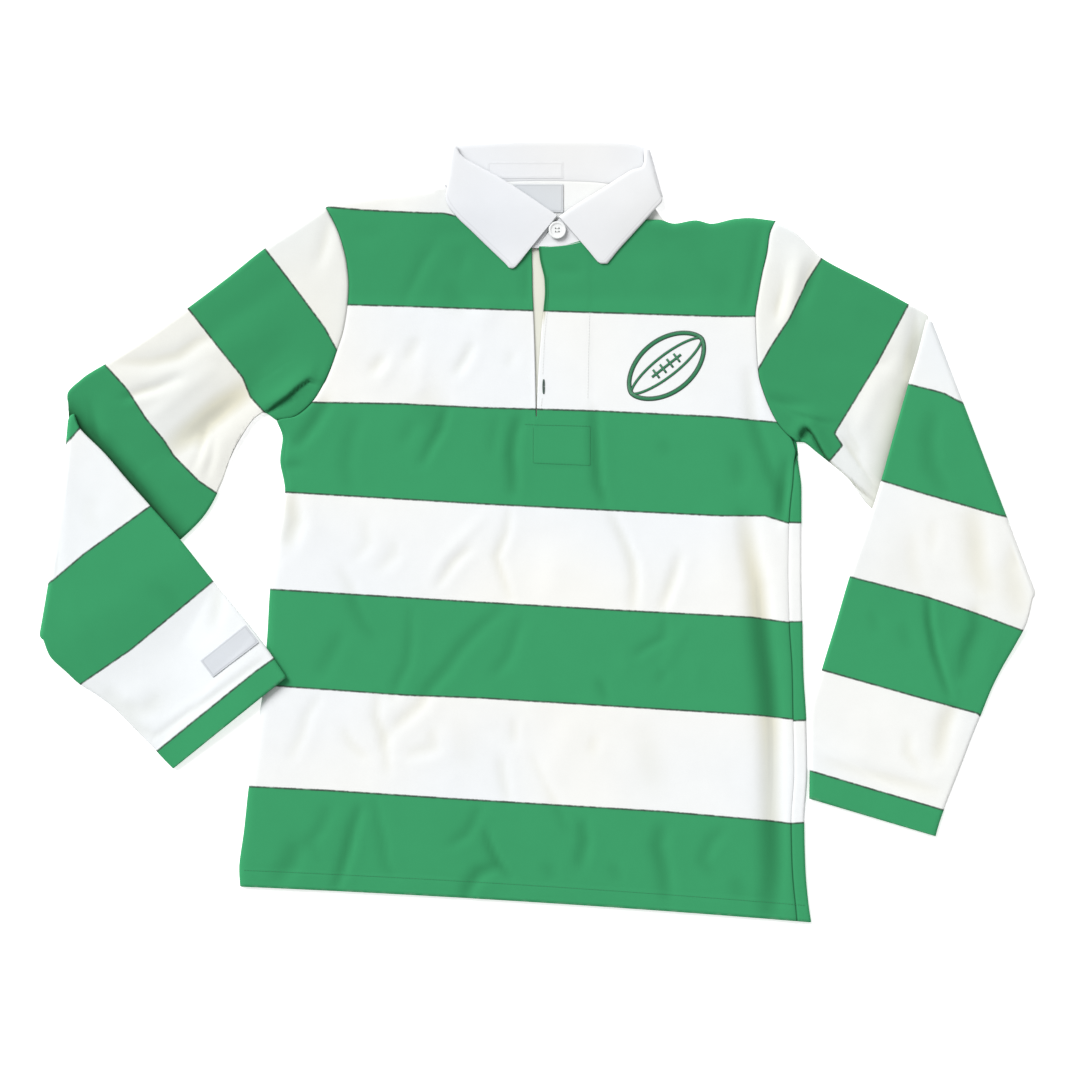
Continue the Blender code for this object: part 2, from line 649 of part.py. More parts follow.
def band_front_height(x, y):
    return front_base_height(x, y) - 0.5 + TWILL / 2


def band_back_height():
    return COLLAR_LIFT + TWILL / 2


def collar_sections():
    """Stations round the neck as (row, turn in degrees, side): the turns pass from front to back."""
    sections = [(row, 0.0, -1) for row in COLLAR_FRONT_RIGHT]
    sections += [(COLLAR_TURN_RIGHT, turn, -1) for turn in (30, 60, 90, 120, 150)]
    sections += [(row, 180.0, 0) for row in COLLAR_BACK]
    sections += [(COLLAR_TURN_LEFT, turn, 1) for turn in (150, 120, 90, 60, 30)]
    sections += [(row, 0.0, 1) for row in COLLAR_FRONT_LEFT]
    return sections


def turn_place(x, y, turn, side, high, low):
    """Plan place, height and normal of a strip that passes from its front height to its back one."""
    angle = math.radians(turn)
    radius = (high - low) / 2
    z = low + radius * (1.0 + math.cos(angle))
    x = x + side * (radius * math.sin(angle) - radius - TWILL / 2) if 0 < turn < 180 else x
    return x, y, z, (side * math.sin(angle), math.cos(angle))


def build_leaf():
    """The fall: it rolls over the band's top edge and lies on the front, or under the back."""
    under, over = [], []
    for row, turn, side in collar_sections():
        low, high = [], []
        for share in reversed(LEAF_COLUMNS):
            x = row.roll_x + (row.leaf_x - row.roll_x) * share
            y = row.roll_y + (row.leaf_y - row.roll_y) * share
            x, y, z, (lean, rise) = turn_place(x, y, turn, side, leaf_front_height(x, y), TWILL / 2)
            low.append((x - lean * TWILL / 2, y, z - rise * TWILL / 2))
            high.append((x + lean * TWILL / 2, y, z + rise * TWILL / 2))
        under.append(low)
        over.append(high)
    return wall_from("collar_leaf", under, over, TWILL_WHITE)


def build_band():
    """The band inside the leaf, from its top edge down to the neckline's seam."""
    under, over = [], []
    inset = 2.4
    for row, turn, side in collar_sections():
        low, high = [], []
        run_x, run_y = row.band_x - row.roll_x, row.band_y - row.roll_y
        length = math.hypot(run_x, run_y)
        for share in BAND_COLUMNS:
            reach = inset + (length - inset) * share
            x = row.roll_x + run_x / length * reach
            y = row.roll_y + run_y / length * reach
            if 0 < turn < 180:
                x -= side * 4.0
            x, y, z, (lean, rise) = turn_place(
                x, y, turn, side, band_front_height(x, y), band_back_height()
            )
            low.append((x - lean * TWILL / 2, y, z - rise * TWILL / 2))
            high.append((x + lean * TWILL / 2, y, z + rise * TWILL / 2))
        under.append(low)
        over.append(high)
    return wall_from("collar_stand", under, over, TWILL_WHITE)


# ---- placket, button, labels ----

def build_underlap():
    """The cream strip behind the slit, hung from the front's points."""
    under, over = [], []
    for y in np.linspace(UNDERLAP["foot"], UNDERLAP["top"], 10):
        low, high = [], []
        for x in np.linspace(UNDERLAP["left"], UNDERLAP["right"], 4):
            top = front_base_height(float(x), float(y)) - GAP
            high.append((x, y, top))
            low.append((x, y, top - WALL + 0.1))
        under.append(low)
        over.append(high)
    return wall_from("placket_underlap", under, over, CREAM)


def build_button():
    """A turned button with a raised rim and four holes, lying on the band."""
    base = band_front_height(BUTTON["x"], BUTTON["y"] + BUTTON["radius"]) + TWILL / 2 + GAP
    radius, thick = BUTTON["radius"], BUTTON["thick"]
    rim, dish = BUTTON["rim"], BUTTON["dish"]
    profile = [
        (0.0, 0.0), (radius - 1.2, 0.0), (radius, 1.0), (radius, thick - 0.9), (radius - 0.8, thick),
        (radius - rim, thick - 0.1), (radius - rim - 1.0, thick - dish), (0.0, thick - dish),
    ]
    bm = bmesh.new()
    around = 32
    rings = []
    for r, z in profile:
        if r == 0.0:
            rings.append([bm.verts.new((0.0, 0.0, z * MM))])
            continue
        turn = [2 * math.pi * k / around for k in range(around)]
        rings.append([bm.verts.new((r * math.cos(a) * MM, r * math.sin(a) * MM, z * MM)) for a in turn])
    for low, high in zip(rings, rings[1:]):
        for k in range(around):
            after = (k + 1) % around
            if len(low) == 1:
                bm.faces.new((low[0], high[k], high[after]))
            elif len(high) == 1:
                bm.faces.new((low[k], low[after], high[0]))
            else:
                bm.faces.new((low[k], low[after], high[after], high[k]))
    button = object_from("neck_button", bm, BUTTON_WHITE, 0.35)
    button.location = (BUTTON["x"] * MM, BUTTON["y"] * MM, base * MM)
    half = BUTTON_HOLE["spacing"] / 2
    for count, (dx, dy) in enumerate(((-half, -half), (half, -half), (half, half), (-half, half))):
        bpy.ops.mesh.primitive_cylinder_add(
            vertices=12, radius=BUTTON_HOLE["radius"] * MM, depth=4 * thick * MM,
            location=((BUTTON["x"] + dx) * MM, (BUTTON["y"] + dy) * MM, base * MM),
        )
        cutter = bpy.context.object
        cutter.name = f"thread_hole_{count + 1}"
        cutter.hide_render = True
        cutter.display_type = "WIRE"
        cut = button.modifiers.new(f"hole {count + 1}", "BOOLEAN")
        cut.operation = "DIFFERENCE"
        cut.object = cutter
    return button


def height_on(piece):
    """The height of a built piece's upper surface as a function of plan place."""
    tree = BVHTree.FromObject(piece, bpy.context.evaluated_depsgraph_get())

    def height(x, y):
        hit, normal, face, distance = tree.ray_cast(Vector((x * MM, y * MM, 1.0)), Vector((0, 0, -1)))
        return hit.z / MM + GAP

    return height


def build_patch(patch, bottom, thick, colour):
    """A flat four-cornered piece that lies on a panel, its points moved out from the panel's."""
    (ax, ay), (bx, by), (cx, cy), (dx, dy) = patch.corners
    under, over = [], []
    for v in np.linspace(0.0, 1.0, patch.rows + 1):
        low, high = [], []
        for u in np.linspace(0.0, 1.0, patch.columns + 1):
            x = (ax * (1 - u) + bx * u) * (1 - v) + (dx * (1 - u) + cx * u) * v
            y = (ay * (1 - u) + by * u) * (1 - v) + (dy * (1 - u) + cy * u) * v
            z = bottom(float(x), float(y))
            low.append((x, y, z))
            high.append((x, y, z + thick))
        under.append(low)
        over.append(high)
    return wall_from(patch.name, under, over, colour)


def main():
    for old in list(bpy.data.objects):
        bpy.data.objects.remove(old)
    build_back()
    build_front()
    right = Sleeve(
        -1, RIGHT_UPPER, RIGHT_CREASE, RIGHT_FOREARM, RIGHT_SLEEVE_FOLDS, RIGHT_FOREARM_FOLDS,
        rests_on_body=True,
    )
    left = Sleeve(
        1, LEFT_UPPER, LEFT_CREASE, LEFT_FOREARM, LEFT_SLEEVE_FOLDS, LEFT_FOREARM_FOLDS,
        rests_on_body=False,
    )
    right_sleeve = right.build("sleeve_right")
    left.build("sleeve_left")
    build_leaf()
    build_band()
    build_underlap()
    build_button()
    build_patch(NECK_PATCH, lambda x, y: COLLAR_LIFT + TWILL + GAP, LABEL_WALL, WHITE)
    build_patch(NECK_LABEL, lambda x, y: back_base(x, y) + WALL + GAP, LABEL_WALL, LABEL_GREY)
    build_patch(SLEEVE_LABEL, height_on(right_sleeve), LABEL_WALL, LABEL_GREY)


main()
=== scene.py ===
"""Dresses the laid rugby shirt: fine cloth shells on the frame's solids, sewing, emblem, button and finishes.

The tables are in millimetres in the frame's own axes: +X towards the wearer's left sleeve, +Y from the hem
to the collar, +Z up from the surface that the shirt lies on. MM turns them into Blender's metres.
"""

import logging
import math
from dataclasses import dataclass, field, replace
from enum import Enum
from typing import Callable, Iterable, NamedTuple, Optional, Sequence

import bpy
import numpy as np
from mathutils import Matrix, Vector
from mathutils.bvhtree import BVHTree


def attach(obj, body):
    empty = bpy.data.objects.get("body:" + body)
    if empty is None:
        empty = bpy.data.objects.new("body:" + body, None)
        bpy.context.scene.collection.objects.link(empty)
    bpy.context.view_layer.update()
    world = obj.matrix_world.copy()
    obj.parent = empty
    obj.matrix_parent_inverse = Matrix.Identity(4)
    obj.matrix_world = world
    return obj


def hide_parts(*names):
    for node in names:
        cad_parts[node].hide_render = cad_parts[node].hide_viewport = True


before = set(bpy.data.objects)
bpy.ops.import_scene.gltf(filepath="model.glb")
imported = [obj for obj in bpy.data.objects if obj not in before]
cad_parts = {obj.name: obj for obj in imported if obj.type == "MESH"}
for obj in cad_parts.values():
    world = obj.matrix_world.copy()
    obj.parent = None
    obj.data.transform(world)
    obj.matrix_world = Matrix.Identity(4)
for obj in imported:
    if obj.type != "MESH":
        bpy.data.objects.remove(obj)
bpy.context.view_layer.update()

MM = 0.001
PER_METRE = 1000.0  # turns the cloth coordinates back into millimetres
ROOT = "root"
FAR = 1000.0  # further than any edge is from another
log = logging.getLogger("rugby_shirt")

Array = np.ndarray
Height = Callable[[Array, Array], Array]
Line = Sequence[tuple]  # (x, y) points


class Slot(Enum):
    """The record's material slots."""

    JERSEY = "jersey"
    TWILL = "collar_twill"
    PLACKET = "placket_twill"
    BUTTON = "button"
    LABEL = "label"


class Side(Enum):
    """A side of the shirt, with the sign of its x."""

    RIGHT = -1
    LEFT = 1


# ---- cloth and laid layers, as in the frame's solids ----

WALL = 1.4  # heavy cotton jersey
TWILL = 1.8  # collar cloth, two plies
GAP = 0.3  # between two pieces at a seam
LOFT = 2.4  # air between back and front
NECK_LOFT = 1.8  # less air where the collar presses
NECK_MIDDLE = (12.0, 345.0)
NECK_LOFT_REACH = (45.0, 110.0)
COLLAR_LIFT = TWILL + 0.7  # the collar lies under the back of the neck and lifts it
LIFT_Y = (282.0, 344.0)
LIFT_X = (-160.0, -106.0, 138.0, 192.0)
UNDERARM_CLEAR = 3.0
EDGE_FALL = 9.0  # the front rounds down to the back over this width
SEAM_DIP, SEAM_HALF = 0.55, 1.7  # depth and half width of the groove along a seam
SLEEVE_HALF = 2.75
LAYER_CLEAR = 0.45
BODY_EDGE_TOP = 2 * WALL + 2 * GAP + LOFT + LAYER_CLEAR
DRAPE_START = 6.0
DRAPE_LENGTH = 90.0
FOLD_CLEAR = 0.25
FURROW_PULL = 1.6  # how far the tables' furrow depths are drawn out
FURROW_SPREAD = 1.2  # and their widths
DEEPEST = 3.3  # a fold stays above the layer below
DEEP_FOLD = 2.2  # a fold this deep counts as 1 in the shade inside folds
MOST_HOLLOW = 1.6  # and the deepest one as this much
NECK_SIDES = (-106.0, 112.0)
LEAF_CLEAR = 0.7
HEM_DEPTH = 17.0
CUFF_HEM_DEPTH = 41.0
TURNED_UP = 0.35  # how much a turned hem stands above the single cloth


def rows_of(kind: type, *table: tuple) -> list:
    """A table's plain rows as rows with named fields."""
    return [kind(*row) for row in table]


class BodyRow(NamedTuple):
    """A level line on the body: its two ends, the back that wraps to the front on the wearer's left, and
    how far its middle bows up."""

    name: str
    left_x: float
    left_y: float
    right_x: float
    right_y: float
    wrap: float
    bow: float


BODY_ROWS = rows_of(
    BodyRow,
    ("hem", -308, -366, 283, -403, 15, 3), ("hem stitching", -309, -347, 280, -382, 14, 3),
    ("lowest green", -304, -308, 277, -345, 14, 2), ("hoop 6", -299, -262, 276, -301, 14, 2),
    ("hip", -291, -210, 279, -248, 14, 1), ("hoop 5", -284, -158, 278, -195, 14, 1),
    ("waist", -280, -108, 275, -143, 12, 0), ("hoop 4", -277, -58, 274, -92, 14, 0),
    ("rib", -269, -8, 273, -41, 14, 1), ("hoop 3", -261.5, 43, 273, 10, 13, 2),
    ("below arm", -266.5, 75, 273, 44, 10, 1), ("side end", -264, 98, 270, 70, 5, 0),
    ("underarm", -270, 116, 267, 94, 0, 0), ("armhole 1", -253, 120, 257, 103, 0, 0),
    ("hoop 2", -234, 135, 247, 115, 0, 0), ("armhole 3", -216, 166, 234, 143, 0, 0),
    ("armhole 4", -208, 188, 228, 165, 0, 0), ("armhole 5", -201, 210, 226, 194, 0, 0),
    ("hoop 1", -197, 236, 225, 224, 0, 0), ("armhole 7", -196, 255, 228, 246, 0, 0),
    ("armhole 8", -198, 276, 232, 268, 0, 0), ("armhole 9", -204, 299, 237, 290, 0, 0),
    ("armhole 10", -212, 320, 240, 310, 0, 0), ("shoulder", -220, 337, 246, 323, 0, 0),
)
UNDERARM = [row.name for row in BODY_ROWS].index("underarm")
CHEST = [row.name for row in BODY_ROWS].index("hoop 1")


class Point(NamedTuple):
    """A place on the laid shirt."""

    x: float
    y: float


FRONT_TOP = [
    (-220, 337), (-208, 342), (-166, 350), (-106, 357), (-95, 358), (-87, 343), (-70, 325), (-40, 307.5),
    (-6, 296.6), (20, 297), (44, 302.4), (78, 312), (108, 324), (125, 324), (141, 320), (163, 323.5),
    (180, 320), (204, 325), (219, 326), (246, 323),
]
BACK_TOP = [
    (-220, 337), (-208, 342), (-166, 350), (-106, 357), (-94, 358.4), (-80, 361.5), (0, 366.5), (60, 364.5),
    (96, 355.5), (120, 338), (130, 324), (141, 320), (163, 323.5), (180, 320), (204, 325), (219, 326),
    (246, 323),
]


class SlitRow(NamedTuple):
    """The placket slit's two edges at one height."""

    y: float
    left: float
    right: float


SLIT_ROWS = rows_of(
    SlitRow,
    (122, -2.3, -0.9), (147, -2.7, -0.2), (170, -3.1, 0.9), (195, -3.8, 2.7), (215, -4.5, 4.2),
    (230, -5.1, 5.8), (250, -5.9, 7.5), (262, -6.1, 7.0), (272, -6.2, 5.0), (283, -6.5, 2.4),
    (295, -6.6, 1.0),
)
BUTTONHOLE = Point(5.9, 151.5)
PLACKET_BOX = ((-5.0, 112.0), (54.0, 110.5), (54.0, 70.0), (-5.0, 72.5))
# Stitches down the placket, beside the slit and beside the folded edge.
PLACKET_ROWS = (
    ((10.4, 266.0), (10.8, 248.0), (9.6, 230.0), (6.8, 202.0), (4.9, 163.0)),
    ((4.4, 140.0), (3.0, 128.0)),
    ((53.5, 229.0), (52.0, 172.0), (51.5, 138.0)),
)
UNDERLAP_LEFT, UNDERLAP_RIGHT = -15.0, 21.0
UNDERLAP_SEAM = 292.6  # y of the groove where the strip is sewn into the neck
UNDERLAP_TOP, UNDERLAP_FOOT = 296.0, 116.0


class Crease(NamedTuple):
    """A soft fold along a line: a ridge where height is positive and a trough where it is negative.

    skew makes it steeper on the left of its run, from -1 to 1.
    """

    x0: float
    y0: float
    x1: float
    y1: float
    width: float
    height: float
    skew: float = 0.0


class Furrow(NamedTuple):
    """A narrow trough along a bent line, with a low roll on the left of its run."""

    points: Line
    width: float
    depth: float


class Tuck(NamedTuple):
    """A fold with a sharp lower lip: cloth stands up along a line and falls away softly on its left."""

    points: Line
    height: float
    soft: float  # how far the cloth takes to come down again
    lip: float = 1.4  # how far beyond the line it drops
    hollow: float = 0.0  # how deep the shade under the lip is
    cast: float = 5.0  # how far its shade falls on the lower side


FRONT_CREASES = rows_of(
    Crease,
    (196, 276, 190, 240, 16, -0.7), (-95, 262, -82, 236, 14, -0.7), (-46, 246, -58, 214, 13, 0.7),
    (120, 288, 128, 252, 16, 0.8), (-118, 152, -106, 108, 16, -0.6), (-150, 182, -162, 155, 7, 0.5),
    (-116, 176, -125, 146, 7, 0.5), (-58, 15, -100, -28, 6, 0.6), (-100, -28, -112, -55, 6, 0.5),
    (22, -20, 10, -70, 17, 0.7), (186, 20, 192, -52, 16, 0.7), (152, -98, 132, -138, 6, 0.6),
    (165, -134, 165, -156, 8, 0.5), (88, -124, 92, -146, 8, 0.5), (-10, -120, 4, -188, 18, 0.7, 0.2),
    (30, -206, 18, -252, 16, 0.7), (112, -214, 122, -262, 15, -0.5), (-80, -205, -74, -246, 15, -0.4),
)
FRONT_FURROWS = rows_of(
    Furrow,
    # the long fold beside the side seam
    ([(213, 16), (219, -20), (227, -55), (232, -110), (238, -160), (241, -205), (242, -265), (243, -345),
     (239, -396)], 10.0, 1.8),
    ([(217, 168), (221, 122), (229, 94), (238, 68), (248, 44), (251, 16)], 6.5, 0.75),
    ([(256, 76), (254, 48), (250, 14)], 5.0, 1.1),
    # yoke and chest
    ([(-105, 300), (-118, 285), (-130, 260), (-140, 240)], 6, 0.5),
    ([(-158, 311), (-188, 307)], 8, 0.3),
    ([(-72, 312), (-110, 310)], 7, 0.3),
    ([(-75, 296), (-81, 268)], 6, 0.32),
    ([(-11, 285), (-13, 240)], 5.5, 0.5),
    ([(48, 272), (13, 274)], 8, 0.45),
    ([(164, 302), (173, 254)], 11, 0.3),
    ([(128, 307), (142, 300)], 7, 0.3),
    ([(231, 318), (226, 295), (221, 262), (214, 232)], 6, 0.6),
    ([(-68, 197), (-76, 180), (-86, 164)], 5, 0.55),
    ([(-124, 202), (-136, 178)], 6, 0.4),
    ([(-158, 183), (-173, 167)], 6, 0.5),
    ([(-26, 188), (-31, 172)], 5, 0.25),
    # below the chest
    ([(-95, 131), (-102, 108), (-112, 90), (-121, 71)], 4.8, 0.7),
    ([(-20, 120), (-26, 100), (-28, 80), (-26, 60), (-26, 40)], 5.5, 1.0),
    ([(58, 126), (59, 100), (60, 75), (62, 50), (69, 30)], 5, 1.0),
    ([(-130, 116), (-141, 92)], 6, 0.35),
    ([(-188, 120), (-196, 95), (-200, 70), (-194, 44)], 7, 0.4),
    ([(-217, 138), (-234, 112), (-251, 90)], 6, 0.85),
    ([(-262, 70), (-244, 72)], 5, 0.5),
    ([(-44, 120), (-49, 80)], 5, 0.3),
    ([(128, 96), (134, 80)], 7, 0.3),
    ([(205, 84), (210, 46)], 8, 0.4),
    # belly
    ([(74, 20), (84, 2), (92, -15), (98, -32), (100, -50), (98, -79)], 5, 0.8),
    ([(146, -22), (140, -45), (134, -62), (127, -79)], 5, 0.65),
    ([(-30, 24), (-33, 0), (-38, -12), (-43, -25), (-38, -40), (-29, -68)], 4.2, 0.6),
    ([(-70, -13), (-88, -30), (-105, -54)], 4.8, 0.55),
    ([(-180, 14), (-176, -10), (-191, -28)], 5.5, 0.3),
    ([(-150, -9), (-149, -22), (-166, -39)], 6, 0.35),
    ([(-256, 40), (-252, 12), (-260, -15)], 8, 1.0),
    ([(-206, -37), (-195, -55), (-190, -75), (-182, -95), (-169, -110)], 6, 0.5),
    ([(-132, -78), (-133, -110), (-136, -135), (-146, -155), (-152, -174)], 5, 0.5),
    ([(-38, -78), (-58, -95), (-80, -118), (-95, -140), (-113, -160), (-122, -178), (-148, -200),
     (-157, -216)], 6, 0.6),
    ([(-166, -168), (-168, -190), (-161, -208), (-158, -228), (-155, -247)], 4.8, 0.6),
    ([(-19, -88), (-25, -110), (-32, -130), (-46, -146)], 6, 0.5),
    ([(-204, -103), (-215, -125), (-226, -147)], 7, 0.4),
    ([(-227, -168), (-240, -190), (-245, -210), (-256, -233)], 5, 0.4),
    ([(131, -86), (129, -108), (112, -118), (99, -127)], 4.5, 0.45),
    ([(63, -152), (71, -174)], 5, 0.5),
    ([(131, -141), (125, -157)], 5, 0.3),
    ([(-25, -193), (-24, -217)], 4, 0.4),
    ([(-110, -203), (-108, -222), (-136, -229)], 6, 0.4),
    ([(-202, -203), (-192, -220), (-177, -233)], 5, 0.45),
    ([(-39, -233), (-36, -255), (-31, -278)], 5, 0.5),
    ([(-6, -230), (12, -268), (22, -290), (31, -312)], 5, 0.4),
    ([(58, -210), (56, -230)], 6, 0.3),
    # above the hem
    ([(-185, -283), (-192, -305), (-198, -330), (-204, -350), (-211, -369)], 5, 0.95),
    ([(-250, -320), (-256, -340), (-273, -361)], 8.5, 0.65),
    ([(-217, -283), (-225, -305), (-236, -320), (-226, -343)], 6, 0.45),
    ([(-171, -276), (-167, -295), (-161, -320), (-158, -345), (-151, -355)], 5, 0.5),
    ([(-61, -284), (-68, -300), (-75, -312), (-91, -323)], 5, 0.55),
    ([(-56, -306), (-50, -325), (-42, -342), (-29, -357)], 4.5, 0.9),
    ([(-44, -345), (-62, -352), (-72, -366), (-77, -382)], 6, 0.9),
    ([(45, -298), (48, -320), (42, -347)], 6, 0.75),
    ([(128, -303), (124, -325), (130, -350), (134, -382)], 7, 0.8),
    ([(191, -306), (178, -320), (170, -340), (181, -354)], 6, 0.45),
    ([(9, -343), (15, -359)], 7, 0.35),
    ([(77, -343), (84, -361)], 6, 0.35),
    ([(204, -358), (212, -379)], 8, 0.4),
)
BACK_CREASES = rows_of(
    Crease,
    (-180, -60, -150, -190, 12, 0.8), (-60, 60, -72, -70, 13, 0.7), (60, -120, 86, -260, 12, 0.8),
    (150, 40, 138, -60, 11, 0.7), (-120, -250, -140, -350, 10, 0.8), (10, -270, 0, -365, 11, 0.7),
    (170, -250, 182, -370, 10, 0.8), (-170, 210, -120, 120, 12, 0.7), (160, 230, 110, 130, 12, 0.7),
)


class Station(NamedTuple):
    """A line across a sleeve: its end on the edge from the shoulder, its end on the edge from under the
    arm, and the share of the armhole's curve that it keeps."""

    outer_x: float
    outer_y: float
    under_x: float
    under_y: float
    carry: float


class ElbowFold(NamedTuple):
    """The line where the forearm turns back over the upper sleeve, bowed inward in its middle."""

    outer_x: float
    outer_y: float
    under_x: float
    under_y: float
    bow: float


RIGHT_UPPER = rows_of(
    Station,
    (-251, 316, -286, 125, 0.80), (-283, 295, -304, 113, 0.62), (-322, 264, -317, 86, 0.45),
    (-363, 233, -328, 52, 0.28), (-405, 203, -343, 22, 0.14), (-440, 180, -375, -11, 0.05),
    (-472, 160, -424, -45, 0.0), (-487, 143, -470, -78, 0.0),
)
RIGHT_ELBOW = ElbowFold(-486, 124, -517, -110, 3.0)
RIGHT_FOREARM = rows_of(
    Station,
    (-475, 110, -505, -127, 0.0), (-448, 82, -488, -144, 0.0), (-425, 55, -474, -157, 0.0),
    (-401, 28, -457, -168, 0.0), (-370, -7, -440, -181, 0.0), (-336, -50, -418, -203, 0.0),
    (-301, -92, -400, -221, 0.0), (-277, -124, -387, -235, 0.0), (-260, -149, -378, -244, 0.0),
)
LEFT_UPPER = rows_of(
    Station,
    (266, 312, 275, 94, 0.86), (294, 285, 290, 83, 0.64), (317, 272, 306, 70, 0.48),
    (339, 261, 322, 56, 0.33), (362, 249, 343, 28, 0.18), (382, 238, 385, 4, 0.06),
    (395, 231, 435, -22, 0.0), (403, 225, 475, -43, 0.0),
)
LEFT_ELBOW = ElbowFold(407, 222, 517, -66, 0.0)
LEFT_FOREARM = rows_of(
    Station,
    (393, 186, 506, -92, 0.0), (383, 153, 494, -116, 0.0), (369, 104, 481, -139, 0.0),
    (355, 54, 470, -161, 0.0), (340, 6, 459, -188, 0.0), (323, -45, 449, -213, 0.0),
    (308, -96, 440, -237, 0.0), (294, -142, 431, -260, 0.0), (282, -190, 422, -283, 0.0),
    (281.5, -236, 416, -300, 0.0), (281, -275, 412, -314, 0.0),
)

RIGHT_SLEEVE_CREASES = rows_of(
    Crease,
    (-472, 110, -442, 76, 9, -2.6, -0.3), (-442, 76, -396, 24, 8, -3.0, -0.3),
    (-277, 131, -244, 156, 7, 1.8, -0.4), (-283, 124, -256, 138, 5, -1.5), (-340, 168, -398, 122, 9, 1.2),
    (-452, 112, -446, 92, 8, 0.8), (-300, 200, -330, 190, 14, 0.6),
)
RIGHT_SLEEVE_FURROWS = rows_of(
    Furrow,
    ([(-338, 210), (-312, 226), (-285, 246), (-256, 264)], 10, 0.5),
    ([(-306, 158), (-290, 176), (-268, 192), (-246, 204)], 13, 0.55),
    ([(-334, 204), (-352, 198), (-372, 183), (-400, 176), (-442, 177)], 7.5, 0.95),
    ([(-370, 162), (-395, 151), (-415, 145), (-430, 139)], 4.6, 1.0),
    ([(-296, 150), (-326, 130), (-352, 108), (-384, 84)], 14, 1.9),
    ([(-344, 106), (-350, 84), (-358, 64)], 4, 0.6),
    ([(-335, 100), (-337, 80), (-343, 58)], 4, 0.55),
    ([(-466, 140), (-462, 118), (-455, 98), (-440, 84)], 8, 0.9),
    ([(-436, 78), (-418, 58), (-400, 34), (-385, 8)], 8, 0.7),
    ([(-214, 330), (-221, 300), (-228, 276)], 6, 0.7),
)
RIGHT_FOREARM_CREASES = rows_of(
    Crease,
    (-440, -66, -404, -94, 13, 0.5), (-486, -72, -466, -112, 11, 0.6, 0.2),
    (-350, -116, -328, -136, 11, 0.5),
)
RIGHT_FOREARM_FURROWS = rows_of(
    Furrow,
    ([(-497, 92), (-501, 60), (-502, 20), (-504, -20), (-502, -42)], 7, 0.8),
    ([(-330, -56), (-331, -78), (-337, -100)], 6.5, 0.5),
    ([(-448, -162), (-432, -180), (-408, -183), (-390, -170)], 9.5, 0.6),
    ([(-426, -190), (-410, -205), (-394, -209)], 6, 0.45),
    ([(-398, -212), (-370, -192), (-335, -168), (-300, -142), (-284, -130)], 3.2, 0.45),
    ([(-460, 38), (-464, 20), (-458, 2)], 9, 0.2),
    ([(-402, -54), (-382, -64), (-372, -84)], 9, 0.2),
)
RIGHT_SLEEVE_TUCKS = rows_of(
    Tuck,
    ([(-282, 126), (-276, 131), (-260, 142), (-247, 153.5), (-237, 160), (-230, 158)], 3.1, 15.0, 1.8, 1.7,
     7.0),
    ([(-370, -25), (-354, -12), (-338, 0), (-325, 12)], 1.2, 10.0, 1.4, 1.3, 3.0),
)
LEFT_SLEEVE_TUCKS = rows_of(
    Tuck,
    ([(270, 97), (271, 104), (275, 109.5), (281, 109), (287, 101), (293, 90), (299, 80), (308, 70),
     (321, 59), (336, 45), (350, 34)], 3.8, 9.0, 2.0, 2.0, 4.0),
    ([(262, 128), (276, 124), (290, 120), (304, 118)], 1.0, 9.0, 4.0, 0.4),
)
LEFT_SLEEVE_CREASES = rows_of(
    Crease,
    (404, 205, 384, 140, 13, -2.6), (384, 140, 362, 50, 13, -2.9), (316, 96, 333, 71, 3.6, -1.4),
    (333, 71, 352, 44, 3.4, -1.3), (273, 99, 279, 104, 5.0, -3.0), (270, 284, 259, 225, 9, 1.9, 0.3),
    (287, 280, 270, 236, 8, -1.7), (256, 276, 246, 222, 7, -1.1), (262, 126, 292, 120, 9, 1.0, 0.3),
    (354, 160, 332, 108, 10, 1.3), (318, 246, 338, 226, 14, 0.5),
)
LEFT_SLEEVE_FURROWS = rows_of(
    Furrow,
    ([(240, 140), (256, 135), (275, 130)], 5, 0.8),
    ([(392, 232), (391, 206), (384, 182), (377, 160)], 7, 1.1),
    ([(372, 190), (362, 178), (350, 172)], 7, 0.5),
    ([(320, 112), (327, 96), (335, 78)], 6, 0.8),
    ([(262, 214), (270, 196), (290, 184), (330, 180)], 12, 0.35),
    ([(262, 268), (252, 240), (246, 222)], 5, 0.5),
)
LEFT_FOREARM_CREASES = rows_of(
    Crease,
    (360, -10, 356, -66, 15, 0.6), (336, -196, 340, -236, 13, 0.5), (474, -110, 462, -150, 9, 0.7),
)
LEFT_FOREARM_FURROWS = rows_of(
    Furrow,
    ([(409, 124), (403, 95), (406, 68), (422, 40)], 8, 0.55),
    ([(448, 24), (453, -8), (455, -35), (464, -64)], 11, 0.75),
    ([(496, -10), (489, -40), (500, -84)], 12, 0.7),
    ([(403, -68), (405, -95), (411, -125), (425, -168)], 4, 1.2),
    ([(438, -152), (442, -125), (452, -100), (452, -76)], 6.5, 0.8),
    ([(430, -176), (421, -200), (414, -236)], 8, 0.75),
    ([(383, -208), (383, -228), (398, -252)], 5.5, 0.35),
    ([(296, -236), (340, -248), (385, -260), (416, -268)], 6, 0.4),
    ([(345, -80), (351, -104)], 6, 0.25),
    ([(377, -92), (384, -122)], 7, 0.3),
    ([(386, 0), (386, -30), (394, -56)], 8, 0.25),
    ([(409, 12), (406, -22)], 6, 0.25),
)


